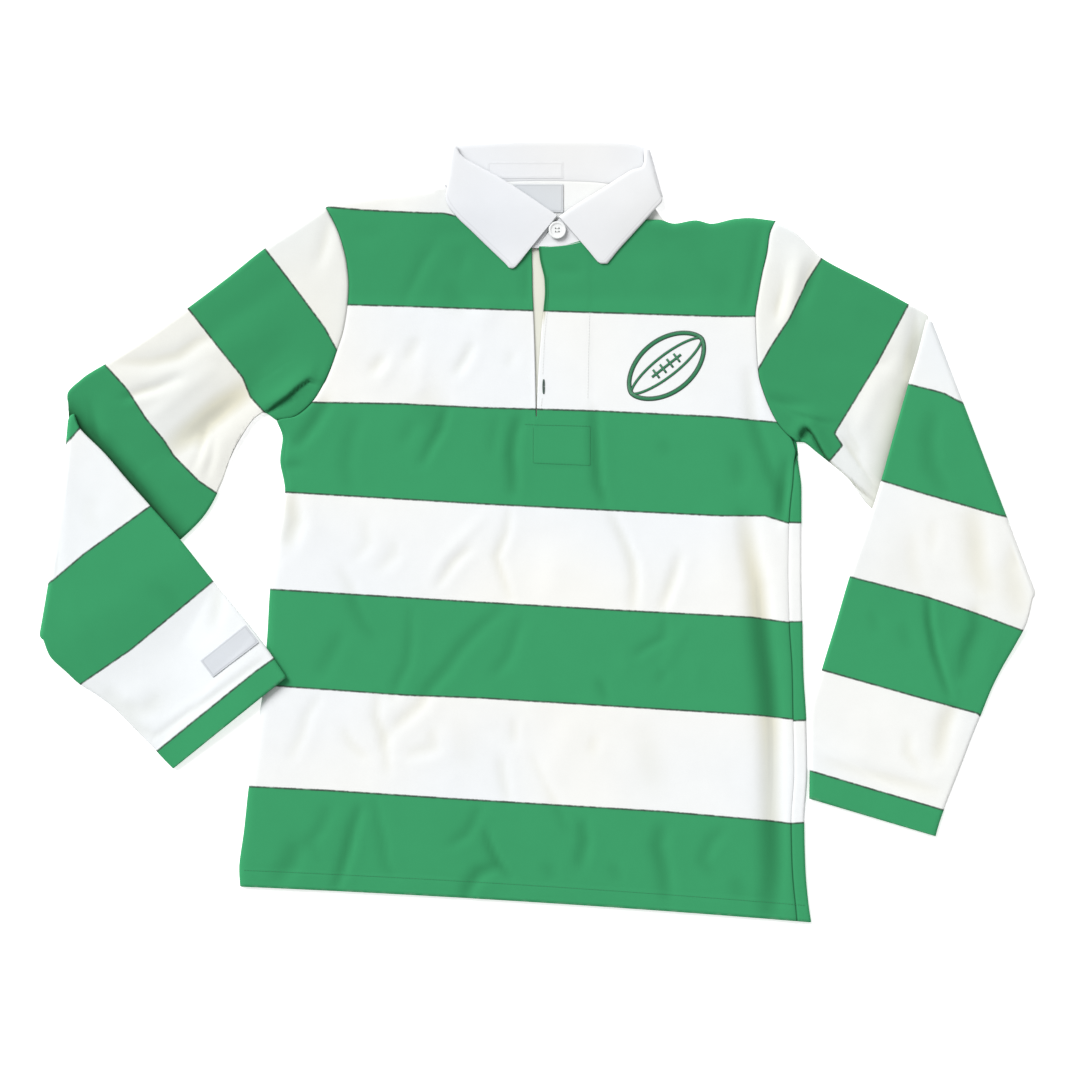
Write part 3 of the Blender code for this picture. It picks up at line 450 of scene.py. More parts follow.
# Each line is where the cloth changes colour, given by the points that it runs through.
FRONT_HOOPS = [
    [(-222, 338), (-180, 334.5), (-120, 331.5), (-97, 331), (-60, 322), (20, 330), (110, 350), (250, 350)],
    [(-197, 236), (-143, 234.6), (-8, 230), (189, 224), (225, 224)],
    [(-234, 135.5), (-143, 134), (-60, 130), (63, 126.5), (189, 120.3), (248, 114.6)],
    [(-269, 42.5), (-60, 30), (83, 22.8), (189, 17.6), (235, 17.6), (253, 11.9)],
    [(-278, -58), (-194, -63.2), (-60, -71.5), (83, -79.8), (221, -87), (259, -92.3)],
    [(-284, -157.6), (-139, -168), (-60, -171), (76, -179.3), (225, -188.7), (264, -193)],
    [(-299, -262.3), (-216, -266.4), (-91, -274.7), (37, -282.5), (131, -288.2), (237, -297.5),
     (262, -300.6)],
]
BACK_HOOPS = [[(-222, 338), (-97, 331), (20, 318), (250, 318)]] + FRONT_HOOPS[1:]
# On the strip of the back that shows beside the left side seam the hoops sit a little apart from the front's.
STRIP_HOOPS = [
    [(240, 13.5), (253, 10.9), (274, 10.4)],
    [(240, -92), (275, -91.5)],
    [(240, -195.5), (279, -194)],
    [(240, -302), (277, -299.5)],
]
RIGHT_SLEEVE_HOOPS = [
    [(-283, 295), (-256, 260), (-221, 213), (-208, 189)],
    [(-363, 233), (-334, 196), (-306, 161), (-298, 141), (-288, 130)],
    [(-448, 174), (-426, 150), (-406, 119), (-387, 96), (-377, 80), (-351, 54), (-332, 41)],
    [(-492, 86), (-427, -47)],
    [(-504, -51), (-476, -85)],
]
RIGHT_FOREARM_HOOPS = [
    [(-492, 86), (-474, 108)],
    [(-504, -51), (-470, -22), (-401, 28)],
    [(-474, -157), (-420, -120), (-336, -50)],
    [(-395, -226), (-323, -168), (-292, -143), (-275, -131)],
]
LEFT_SLEEVE_HOOPS = [
    [(294, 285), (278, 260), (260, 222), (241, 193), (227, 168)],
    [(384, 237), (351, 175), (307, 103), (315.5, 90.5), (301, 73.6)],
    [(437, 135), (372, 18)],
    [(489, 11), (460, -38)],
]
LEFT_FOREARM_HOOPS = [
    [(383, 154), (411, 147), (421, 144), (437, 135)],
    [(355, 54), (397, 41), (484, 16), (489, 11)],
    [(323, -45), (403, -66), (454, -83), (502, -101)],
    [(294, -142), (393, -170), (455, -187), (458, -190)],
    [(279, -245), (349, -266), (421, -287)],
]


class CollarRow(NamedTuple):
    """A line across the collar: where it rolls over, the fall's free edge and the band's seam."""

    roll_x: float
    roll_y: float
    leaf_x: float
    leaf_y: float
    band_x: float
    band_y: float


COLLAR_FRONT_RIGHT = rows_of(
    CollarRow,
    (19.5, 328, -23, 276.5, 0.4, 296.8), (18.5, 328.8, -25.6, 274, -2.5, 297.0),
    (16, 330.6, -29.2, 274.4, -7, 297.5), (8, 336, -33, 278.4, -14, 299), (-14, 351, -53, 297.5, -36, 308),
    (-38, 366, -69, 313, -60, 325), (-60, 378, -84, 327.5, -78, 344), (-76, 387, -94, 342, -86, 354),
)
COLLAR_TURN_RIGHT = CollarRow(-90, 400, -97.2, 359.2, -92, 365)
COLLAR_BACK = rows_of(
    CollarRow,
    (-78, 402, -84, 355, -78, 364), (-42, 404, -44, 352, -42, 366), (0, 405.5, 0, 351, 0, 367),
    (45, 405.5, 48, 350, 42, 366.5), (84, 404.5, 92, 350, 74, 364), (102, 402, 114, 348, 96, 357),
)
COLLAR_TURN_LEFT = CollarRow(116, 397, 129.6, 347.5, 117, 342)
COLLAR_FRONT_LEFT = rows_of(
    CollarRow,
    (108, 378, 128, 343, 106, 330), (98, 375, 120, 334, 100, 327), (86, 368, 112, 325, 88, 321),
    (70, 357.5, 97, 308.5, 70, 313), (48, 344, 83, 293, 48, 304), (32, 333.5, 74, 282, 27, 299.5),
    (26, 329, 71, 279, 12, 298), (24, 327.4, 65, 279, 4, 297.2), (22.6, 326.6, 62, 281.5, -0.4, 296.6),
)

BUTTON_X, BUTTON_Y = 20.0, 313.4
BUTTON_RADIUS = 9.0
BUTTON_THICK = 3.0
NECK_TAPE = ((-52, 367), (26, 367), (26, 384), (-52, 384))
NECK_LABEL = ((-25, 332), (26, 332), (26, 361), (-25, 361))
SLEEVE_LABEL = ((-336, -149), (-288.5, -113), (-302.5, -95.2), (-349, -132))
LABEL_WALL = 0.8


# ---- measures ----

def smooth(value: Array) -> Array:
    """0 below 0, 1 above 1 and a soft S between."""
    held = np.clip(value, 0.0, 1.0)
    return held * held * (3.0 - 2.0 * held)


def flow(table: Array, places: Array) -> Array:
    """Rows of a table at fractional row numbers, on a smooth line that never overshoots.

    Args:
        table: one row for each station.
        places: fractional row numbers.

    Returns:
        One row for each place.
    """
    table = np.asarray(table, float)
    steps = np.diff(table, axis=0)
    before, after = steps[:-1], steps[1:]
    together = before * after > 0
    total = np.where(together, before + after, 1.0)
    slopes = np.zeros_like(table)
    slopes[0], slopes[-1] = steps[0], steps[-1]
    slopes[1:-1] = np.where(together, 2.0 * before * after / total, 0.0)
    low = np.clip(np.floor(places).astype(int), 0, len(table) - 2)
    t = (places - low)[:, None]
    a, b = table[low], table[low + 1]
    return (
        a * (2 * t**3 - 3 * t**2 + 1) + slopes[low] * (t**3 - 2 * t**2 + t)
        + b * (3 * t**2 - 2 * t**3) + slopes[low + 1] * (t**3 - t**2)
    )


def finer(spans: Sequence[float], pitch: float) -> Array:
    """Fractional row numbers that stand about a pitch apart.

    Args:
        spans: the distance from each row to the next.
        pitch: the wanted distance.

    Returns:
        The row numbers, the last one included.
    """
    places = []
    for row, span in enumerate(spans):
        count = max(int(math.ceil(span / pitch)), 1)
        places += [row + step / count for step in range(count)]
    return np.array(places + [float(len(spans))])


def edge_line(points: Line) -> Callable[[Array], Array]:
    """Height of a smooth line through points as a function of x."""
    line = flow(np.array(points), np.linspace(0, len(points) - 1, 12 * len(points)))
    return lambda x: np.interp(x, line[:, 0], line[:, 1])


def segment_reach(x: Array, y: Array, x0: float, y0: float, x1: float, y1: float) -> tuple:
    """Distance to a segment, share along it and on which side of it a point lies."""
    run_x, run_y = x1 - x0, y1 - y0
    share = np.clip(((x - x0) * run_x + (y - y0) * run_y) / (run_x**2 + run_y**2), 0.0, 1.0)
    off_x, off_y = x - x0 - share * run_x, y - y0 - share * run_y
    return np.hypot(off_x, off_y), share, run_x * off_y - run_y * off_x


def relief(creases: Iterable[Crease], x: Array, y: Array) -> Array:
    """Sum of the creases' heights at a point."""
    total = np.zeros(np.broadcast(x, y).shape)
    for crease in creases:
        away, share, turn = segment_reach(x, y, crease.x0, crease.y0, crease.x1, crease.y1)
        width = crease.width * np.where(turn > 0, 1.0 - 0.5 * crease.skew, 1.0 + 0.5 * crease.skew)
        fade = 1.0 - 0.45 * np.abs(2.0 * share - 1.0) ** 3
        total += crease.height * fade * np.exp(-((away / width) ** 2))
    return total


def line_reach(points: Line, x: Array, y: Array) -> tuple:
    """Where a place lies beside a bent line.

    Args:
        points: the line.
        x: places across.
        y: places along.

    Returns:
        The distance on the line's left, negative on its right, and the share of the way along it.
    """
    nearest = np.full(np.broadcast(x, y).shape, 1e9)
    signed, along = np.zeros(nearest.shape), np.zeros(nearest.shape)
    for number, ((x0, y0), (x1, y1)) in enumerate(zip(points, points[1:])):
        away, share, turn = segment_reach(x, y, x0, y0, x1, y1)
        closer = away < nearest
        nearest = np.where(closer, away, nearest)
        signed = np.where(closer, np.where(turn > 0, away, -away), signed)
        along = np.where(closer, (number + share) / (len(points) - 1), along)
    return signed, along


def furrowed(furrows: Iterable[Furrow], x: Array, y: Array) -> Array:
    """Sum of the furrows' heights at a point."""
    total = np.zeros(np.broadcast(x, y).shape)
    for furrow in furrows:
        signed, along = line_reach(furrow.points, x, y)
        fade = 0.25 + 0.75 * np.sin(math.pi * np.clip(along, 0.0, 1.0)) ** 0.5
        width = FURROW_SPREAD * furrow.width
        trough = np.exp(-((signed / width) ** 2))
        roll = np.exp(-(((signed - 1.7 * width) / (1.2 * width)) ** 2))
        total += FURROW_PULL * furrow.depth * fade * (0.4 * roll - trough)
    return total


def folds_of(tables: tuple, x: Array, y: Array) -> Array:
    """Height of a table of creases and one of furrows, not below the deepest fold."""
    creases, furrows = tables
    return np.maximum(relief(creases, x, y) + furrowed(furrows, x, y), -DEEPEST)


def hollows(folds: Array) -> Array:
    """Painted shade inside folds: how deep in a fold a point lies, 1 in a deep one."""
    return np.clip(-folds / DEEP_FOLD, 0.0, MOST_HOLLOW)


def tucked(tucks: Iterable[Tuck], x: Array, y: Array) -> tuple:
    """Sum of the tucks' heights at a point, and how deep in their shade it lies."""
    total = np.zeros(np.broadcast(x, y).shape)
    dark = np.zeros(total.shape)
    for tuck in tucks:
        signed, along = line_reach(tuck.points, x, y)
        fade = np.sin(math.pi * np.clip(0.06 + 0.88 * along, 0.0, 1.0)) ** 0.6
        raised = np.where(signed > 0, np.exp(-((signed / tuck.soft) ** 2)), smooth(1.0 + signed / tuck.lip))
        under = np.where(signed < 0, np.exp(-(((signed + tuck.lip) / 2.6) ** 2)), 0.0) * tuck.hollow
        total += fade * (tuck.height * raised - under)
        line = np.exp(-(((signed + 0.7 * tuck.lip) / 1.5) ** 2))
        below = np.where(signed < 0, 0.45 * np.exp(signed / tuck.cast), 0.0)
        dark = np.maximum(dark, fade * tuck.hollow * np.maximum(line, below))
    return total, dark


def outline_distance(points: Line, x: Array, y: Array) -> Array:
    """Distance outside a closed outline, and 0 inside it."""
    inside = np.zeros(x.shape, bool)
    nearest = np.full(x.shape, 1e9)
    for (x0, y0), (x1, y1) in zip(points, list(points[1:]) + [points[0]]):
        away = segment_reach(x, y, x0, y0, x1, y1)[0]
        nearest = np.minimum(nearest, away)
        if y0 != y1:
            crosses = (y0 > y) != (y1 > y)
            inside ^= crosses & (x < x0 + (y - y0) * (x1 - x0) / (y1 - y0))
    return np.where(inside, 0.0, nearest)


def drape(distance: Array) -> Array:
    """Share of a support's height that cloth still has at this distance beside it."""
    return 1.0 - smooth((distance - DRAPE_START) / DRAPE_LENGTH)


@dataclass
class Hoops:
    """Alternating hoops between lines that follow each other over a piece."""

    lines: Sequence[Line]
    starts_green: bool = False
    run_on: float = 120.0  # how far a line runs on straight past its ends

    def past(self, line: Line, x: Array, y: Array) -> Array:
        """Distance past one line, which is negative before it; the line's ends run on straight."""
        points = [np.array(point) for point in line]
        first, last = points[0] - points[1], points[-1] - points[-2]
        head = points[0] + first * (self.run_on / np.linalg.norm(first))
        tail = points[-1] + last * (self.run_on / np.linalg.norm(last))
        points = [head] + points[1:-1] + [tail] if len(points) > 2 else [head, tail]
        return line_reach(points, x, y)[0]

    def field(self, x: Array, y: Array, turn: float = 1.0) -> Array:
        """Distance to the nearest colour change, positive on green and negative on white.

        Args:
            x: places across.
            y: places along.
            turn: 1 where the lines run with the next hoop on their left, and -1 where on their right.

        Returns:
            The signed distance in millimetres.
        """
        distances = np.array([turn * self.past(line, x, y) for line in self.lines])
        passed = (distances > 0).sum(axis=0) + (1 if self.starts_green else 0)
        return np.where(passed % 2 == 1, 1.0, -1.0) * np.abs(distances).min(axis=0)


# ---- cloth meshes ----

@dataclass
class ClothGrid:
    """The middle surface of a cloth, rows by columns, with what its material follows."""

    points: Array
    across: Array
    along: Array
    hoop: Array
    seam: Array
    wall: Array
    ring: bool = False
    cells: Optional[Array] = None
    bulge: float = 0.3
    hem: Optional[Array] = None
    shade: Optional[Array] = None

    def normals(self) -> Array:
        """Unit normals of the middle surface."""
        p = self.points
        if self.ring:
            over = np.roll(p, -1, axis=1) - np.roll(p, 1, axis=1)
        else:
            over = np.gradient(p, axis=1)
        up = np.gradient(p, axis=0)
        normal = np.cross(over, up)
        size = np.linalg.norm(normal, axis=2, keepdims=True)
        return normal / np.maximum(size, 1e-9)

    def faces_out(self, normal: Array) -> bool:
        """True if the normals point away from a ring's middle, or up from a flat piece."""
        if not self.ring:
            return float(normal[..., 2].mean()) > 0
        middle = self.points.mean(axis=1, keepdims=True)
        return float(((self.points - middle) * normal).sum()) > 0

    def turned(self) -> "ClothGrid":
        """The same grid with its columns in the opposite order."""
        keys = ("points", "across", "along", "hoop", "seam", "wall", "cells", "hem", "shade")
        grids = {key: getattr(self, key) for key in keys}
        return replace(self, **{key: grid[:, ::-1].copy() for key, grid in grids.items() if grid is not None})

    def build(self, name: str) -> bpy.types.Object:
        """A closed shell with rounded rims.

        Args:
            name: the new object's name.

        Returns:
            The object, smooth shaded, with the cloth UV map and the hoop and seam attributes.
        """
        normal = self.normals()
        if not self.faces_out(normal):
            return self.turned().build(name)
        rows, columns = self.points.shape[:2]
        wide = columns if self.ring else columns - 1
        cells = np.ones((rows - 1, wide), bool) if self.cells is None else self.cells
        half = (self.wall / 2.0)[..., None]
        over, under = self.points + normal * half, self.points - normal * half
        size = rows * columns
        index = np.arange(size).reshape(rows, columns)
        i, j = np.nonzero(cells)
        corners = [(i + up, j + right) for up, right in ((0, 0), (0, 1), (1, 1), (1, 0))]
        quads = np.stack([index[a, b % columns] for a, b in corners], axis=1)
        top_u = np.stack([self.corner(self.across, a, b) for a, b in corners], axis=1)
        top_v = np.stack([self.along[a, b % columns] for a, b in corners], axis=1)
        rim_index, rim_points, rim_faces = self.rim(cells, index, size)
        behind = self.grid_vertex(rim_faces, size, rim_index)
        uv = np.stack([
            np.concatenate([top, top[:, ::-1], grid.ravel()[behind]])
            for top, grid in ((top_u, self.across), (top_v, self.along))
        ], axis=2)
        faces = np.concatenate([quads, quads[:, ::-1] + size, rim_faces])
        points = np.concatenate([over.reshape(-1, 3), under.reshape(-1, 3), rim_points])
        hem = np.full(self.hoop.shape, FAR) if self.hem is None else self.hem
        shade = np.zeros(self.hoop.shape) if self.shade is None else self.shade
        values = {}
        for key, grid in (("hoop", self.hoop), ("seam", self.seam), ("hem", hem), ("shade", shade)):
            flat = grid.ravel()
            values[key] = np.concatenate([flat, flat, flat[rim_index]])
        return mesh_object(name, points * MM, faces, uv * MM, values)

    def corner(self, grid: Array, i: Array, j: Array) -> Array:
        """A grid's value at a cell's corner; a ring's last column runs on past the first."""
        if not self.ring:
            return grid[i, j]
        last = grid.shape[1]
        step = grid[i, -1] - grid[i, -2]
        return np.where(j < last, grid[i, np.minimum(j, last - 1)], grid[i, -1] + step)

    def rim(self, cells: Array, index: Array, size: int) -> tuple:
        """Rounded edges where the cloth ends.

        Args:
            cells: which cells have cloth.
            index: vertex numbers of the grid.
            size: how many vertices the grid has.

        Returns:
            The grid vertex behind each rim vertex, the rim's points and its faces.
        """
        columns = index.shape[1]
        padded = np.pad(cells, ((1, 1), (0, 0)))
        missing_low = cells & ~padded[:-2]
        missing_high = cells & ~padded[2:]
        if self.ring:
            missing_left = cells & ~np.roll(cells, 1, axis=1)
            missing_right = cells & ~np.roll(cells, -1, axis=1)
        else:
            side = np.pad(cells, ((0, 0), (1, 1)))
            missing_left = cells & ~side[:, :-2]
            missing_right = cells & ~side[:, 2:]
        p = self.points
        out = np.zeros_like(p)
        edges = []
        for missing, a, b, inner in (
            (missing_low, (0, 0), (0, 1), (1, 0)), (missing_right, (0, 1), (1, 1), (0, 0)),
            (missing_high, (1, 1), (1, 0), (0, 1)), (missing_left, (1, 0), (0, 0), (1, 1)),
        ):
            for i, j in zip(*np.nonzero(missing)):
                va = (i + a[0], (j + a[1]) % columns)
                vb = (i + b[0], (j + b[1]) % columns)
                vi = (i + inner[0], (j + inner[1]) % columns)
                along = p[vb] - p[va]
                away = p[va] - p[vi]
                away = away - along * (away @ along) / max(along @ along, 1e-9)
                away = away / max(np.linalg.norm(away), 1e-9)
                out[va] += away
                out[vb] += away
                edges.append((index[va], index[vb]))
        used = sorted({vertex for edge in edges for vertex in edge})
        place = {vertex: number for number, vertex in enumerate(used)}
        flat_out = out.reshape(-1, 3)[used]
        flat_out /= np.maximum(np.linalg.norm(flat_out, axis=1, keepdims=True), 1e-9)
        rim_points = p.reshape(-1, 3)[used] + flat_out * self.bulge
        faces = []
        for a, b in edges:
            rim_a, rim_b = 2 * size + place[a], 2 * size + place[b]
            faces.append((b, a, rim_a, rim_b))
            faces.append((rim_b, rim_a, a + size, b + size))
        return np.array(used), rim_points, np.array(faces)

    @staticmethod
    def grid_vertex(faces: Array, size: int, rim_index: Array) -> Array:
        """The grid vertex that each corner of the rim's faces stands for."""
        over = np.where(faces < size, faces, faces - size)
        rim = np.clip(faces - 2 * size, 0, len(rim_index) - 1)
        return np.where(faces >= 2 * size, rim_index[rim], over)


def mesh_object(name: str, points: Array, faces: Array, uv: Optional[Array] = None,
                values: Optional[dict] = None) -> bpy.types.Object:
    """An object of quads, smooth shaded.

    Args:
        name: its name.
        points: vertices in metres.
        faces: four vertex numbers each.
        uv: cloth coordinates of each face's corners, in metres.
        values: named numbers for each vertex.

    Returns:
        The object, linked to the scene.
    """
    mesh = bpy.data.meshes.new(name)
    mesh.vertices.add(len(points))
    mesh.vertices.foreach_set("co", np.ascontiguousarray(points, np.float32).ravel())
    mesh.loops.add(faces.size)
    mesh.loops.foreach_set("vertex_index", np.ascontiguousarray(faces, np.int32).ravel())
    mesh.polygons.add(len(faces))
    mesh.polygons.foreach_set("loop_start", np.arange(0, faces.size, 4, dtype=np.int32))
    mesh.polygons.foreach_set("use_smooth", np.ones(len(faces), bool))
    if uv is not None:
        layer = mesh.uv_layers.new(name="cloth")
        layer.data.foreach_set("uv", np.ascontiguousarray(uv, np.float32).ravel())
    for key, numbers in (values or {}).items():
        attribute = mesh.attributes.new(key, "FLOAT", "POINT")
        attribute.data.foreach_set("value", np.ascontiguousarray(numbers, np.float32))
    mesh.update(calc_edges=True)
    mesh.validate()
    made = bpy.data.objects.new(name, mesh)
    bpy.context.scene.collection.objects.link(made)
    return made


def edited(piece: bpy.types.Object, change: Callable[..., object], **settings: object) -> bpy.types.Object:
    """A piece after an edit-mode operator on the whole of it.

    Args:
        piece: the piece.
        change: the operator.
        settings: what the operator is told.

    Returns:
        The piece, in object mode.
    """
    bpy.ops.object.select_all(action="DESELECT")
    bpy.context.view_layer.objects.active = piece
    piece.select_set(True)
    bpy.ops.object.mode_set(mode="EDIT")
    bpy.ops.mesh.select_all(action="SELECT")
    change(**settings)
    bpy.ops.object.mode_set(mode="OBJECT")
    return piece


class Surface:
    """The upper side of built pieces, for what is sewn onto them."""

    def __init__(self, pieces: Sequence[bpy.types.Object]) -> None:
        """Reads the pieces' meshes."""
        graph = bpy.context.evaluated_depsgraph_get()
        self.trees = [BVHTree.FromObject(piece, graph) for piece in pieces]

    def height(self, x: float, y: float) -> float:
        """The highest point above a place, in millimetres, and 0 where nothing lies."""
        best = 0.0
        for tree in self.trees:
            hit = tree.ray_cast(Vector((x * MM, y * MM, 1.0)), Vector((0, 0, -1)))[0]
            if hit is not None:
                best = max(best, hit.z / MM)
        return best


def spread(start: Array, end: Array, near_start: Sequence[float], near_end: Sequence[float],
           count: int) -> Array:
    """Places across each row: fixed distances at both ends and even ones between.

    Args:
        start: where each row starts.
        end: where each row ends.
        near_start: distances from the start.
        near_end: distances from the end, the nearest first.
        count: how many places lie between.

    Returns:
        One row of places for each start.
    """
    low = start[:, None] + np.array(near_start)
    high = end[:, None] - np.array(near_end)[::-1]
    share = np.linspace(0.0, 1.0, count + 2)[1:-1]
    middle = low[:, -1:] * (1.0 - share) + high[:, :1] * share
    return np.concatenate([low, middle, high], axis=1)


def back_base(x: Array, y: Array) -> Array:
    """Underside of the back: on the floor, or on the collar behind the neck."""
    across = smooth((x - LIFT_X[0]) / (LIFT_X[1] - LIFT_X[0]))
    across = across * smooth((LIFT_X[3] - x) / (LIFT_X[3] - LIFT_X[2]))
    return COLLAR_LIFT * across * smooth((y - LIFT_Y[0]) / (LIFT_Y[1] - LIFT_Y[0]))


def loft(x: Array, y: Array) -> Array:
    """Air between back and front, away from the edges."""
    away = np.hypot(x - NECK_MIDDLE[0], y - NECK_MIDDLE[1])
    near, far = NECK_LOFT_REACH
    return NECK_LOFT + (LOFT - NECK_LOFT) * smooth((away - near) / (far - near))


def front_base(x: Array, y: Array) -> Array:
    """The front's underside without folds, carried on over the neckline."""
    return back_base(x, y) + WALL + GAP + loft(x, y)


def dress(piece: bpy.types.Object, material: bpy.types.Material, slot: Slot,
          nodes: Sequence[str] = ()) -> bpy.types.Object:
    """Gives a piece its finish and ties it to the frame.

    Args:
        piece: a finished mesh in its place.
        material: its finish.
        slot: the record's material slot that it belongs to; not used.
        nodes: the CAD nodes that it stands for.

    Returns:
        The piece.
    """
    piece.data.materials.clear()
    piece.data.materials.append(material)
    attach(piece, ROOT)
    if nodes:
        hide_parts(*nodes)
    log.info("%s: %d faces", piece.name, len(piece.data.polygons))
    return piece


# ---- body ----

@dataclass
class BodyForm:
    """The laid body's rows and heights, shared by every piece that meets it."""

    pitch: float = 3.6
    places: Array = field(init=False)
    fine: Array = field(init=False)

    def __post_init__(self) -> None:
        """Works out the fine rows between the named ones."""
        self.table = np.array([row[1:] for row in BODY_ROWS], float)
        ends = self.table[:, :4]
        spans = [max(np.hypot(*step[:2]), np.hypot(*step[2:])) for step in np.diff(ends, axis=0)]
        self.places = finer(spans, self.pitch)
        self.fine = flow(self.table, self.places)
        self.front_top = edge_line(FRONT_TOP)
        self.back_top = edge_line(BACK_TOP)

    @staticmethod
    def line(rows: Array, x: Array) -> Array:
        """Height of each row at x."""
        left_x, left_y, right_x, right_y, _, bow = (rows[:, k:k + 1] for k in range(6))
        share = (x - left_x) / (right_x - left_x)
        return left_y + (right_y - left_y) * share + 4.0 * bow * share * (1.0 - share)

    def along(self, x: Array, top: Callable[[Array], Array]) -> Array:
        """y of the fine rows at x; above the chest they follow the panel's top edge.

        Args:
            x: places across, a row of them for each fine row.
            top: the panel's top edge.

        Returns:
            y for each place.
        """
        here = self.line(self.fine, x)
        chest = self.line(self.table[CHEST:CHEST + 1], x)
        shoulder = self.line(self.table[-1:], x)
        mapped = chest + (here - chest) * (top(x) - chest) / (shoulder - chest)
        return np.where(self.places[:, None] > CHEST, mapped, here)

    def edge(self, side: Side) -> Array:
        """The body's outer edge from hem to shoulder, as (x, y) for each fine row."""
        column = 0 if side is Side.RIGHT else 2
        x = self.fine[:, column:column + 1]
        return np.concatenate([x, self.along(x, self.front_top)], axis=1)

    def hem(self, x: Array) -> Array:
        """y of the hem's edge."""
        return self.line(self.table[:1], x)

    def front_height(self, x: Array, y: Array) -> Array:
        """Middle of the front's wall on the fine rows, with folds, seams and the turned hem.

        Args:
            x: places across, a row of them for each fine row.
            y: places along.

        Returns:
            Heights in millimetres.
        """
        place = self.places[:, None]
        left = self.fine[:, 0:1]
        open_arm = 20.0 * smooth((place - UNDERARM + 1.0) / 2.0)
        neck = smooth((x - NECK_SIDES[0] + 4.0) / 8.0) * smooth((NECK_SIDES[1] - x + 4.0) / 8.0)
        inside = np.minimum(x - left + open_arm, self.front_top(x) - y + 20.0 * neck)
        share = np.clip(inside / EDGE_FALL, 0.0, 1.0)
        rounded = np.sqrt(1.0 - (1.0 - share) ** 2)
        air = np.maximum((loft(x, y) + self.folds(x, y)) * rounded, 0.0)
        height = back_base(x, y) + WALL + GAP + air + WALL / 2.0
        height -= SEAM_DIP * np.exp(-((self.seam(x) / SEAM_HALF) ** 2))
        above_hem = y - self.hem(x)
        height += TURNED_UP * smooth((HEM_DEPTH - above_hem) / 3.0 + 0.5)
        return height + self.placket_ply(x, y)

    @staticmethod
    def folds(x: Array, y: Array) -> Array:
        """Height of the front's folds above its even middle."""
        return relief(FRONT_CREASES, x, y) + furrowed(FRONT_FURROWS, x, y)

    @staticmethod
    def placket_ply(x: Array, y: Array) -> Array:
        """How much the folded placket and its stitched box stand above the single cloth."""
        across = smooth((x + 6.0) / 3.0) * smooth((55.0 - x) / 3.0)
        return 0.35 * across * smooth((y - 69.0) / 3.0)

    def seam(self, x: Array) -> Array:
        """Distance from the armhole and side seams on the front."""
        place = self.places[:, None]
        side_seam = np.abs(x - self.fine[:, 0:1] - 3.2) + 0.5 + 3.0 * smooth(UNDERARM - 2.6 - place)
        left = np.where(place >= UNDERARM, x - self.fine[:, 0:1], side_seam)
        return np.abs(np.minimum(left, self.front_end()[:, None] - x))

    def front_end(self) -> Array:
        """Where the front ends on the wearer's left: at the side seam or the armhole."""
        clear = UNDERARM_CLEAR * np.exp(-(((self.places - UNDERARM) / 0.6) ** 2))
        return self.fine[:, 2] - np.maximum(self.fine[:, 4], clear)


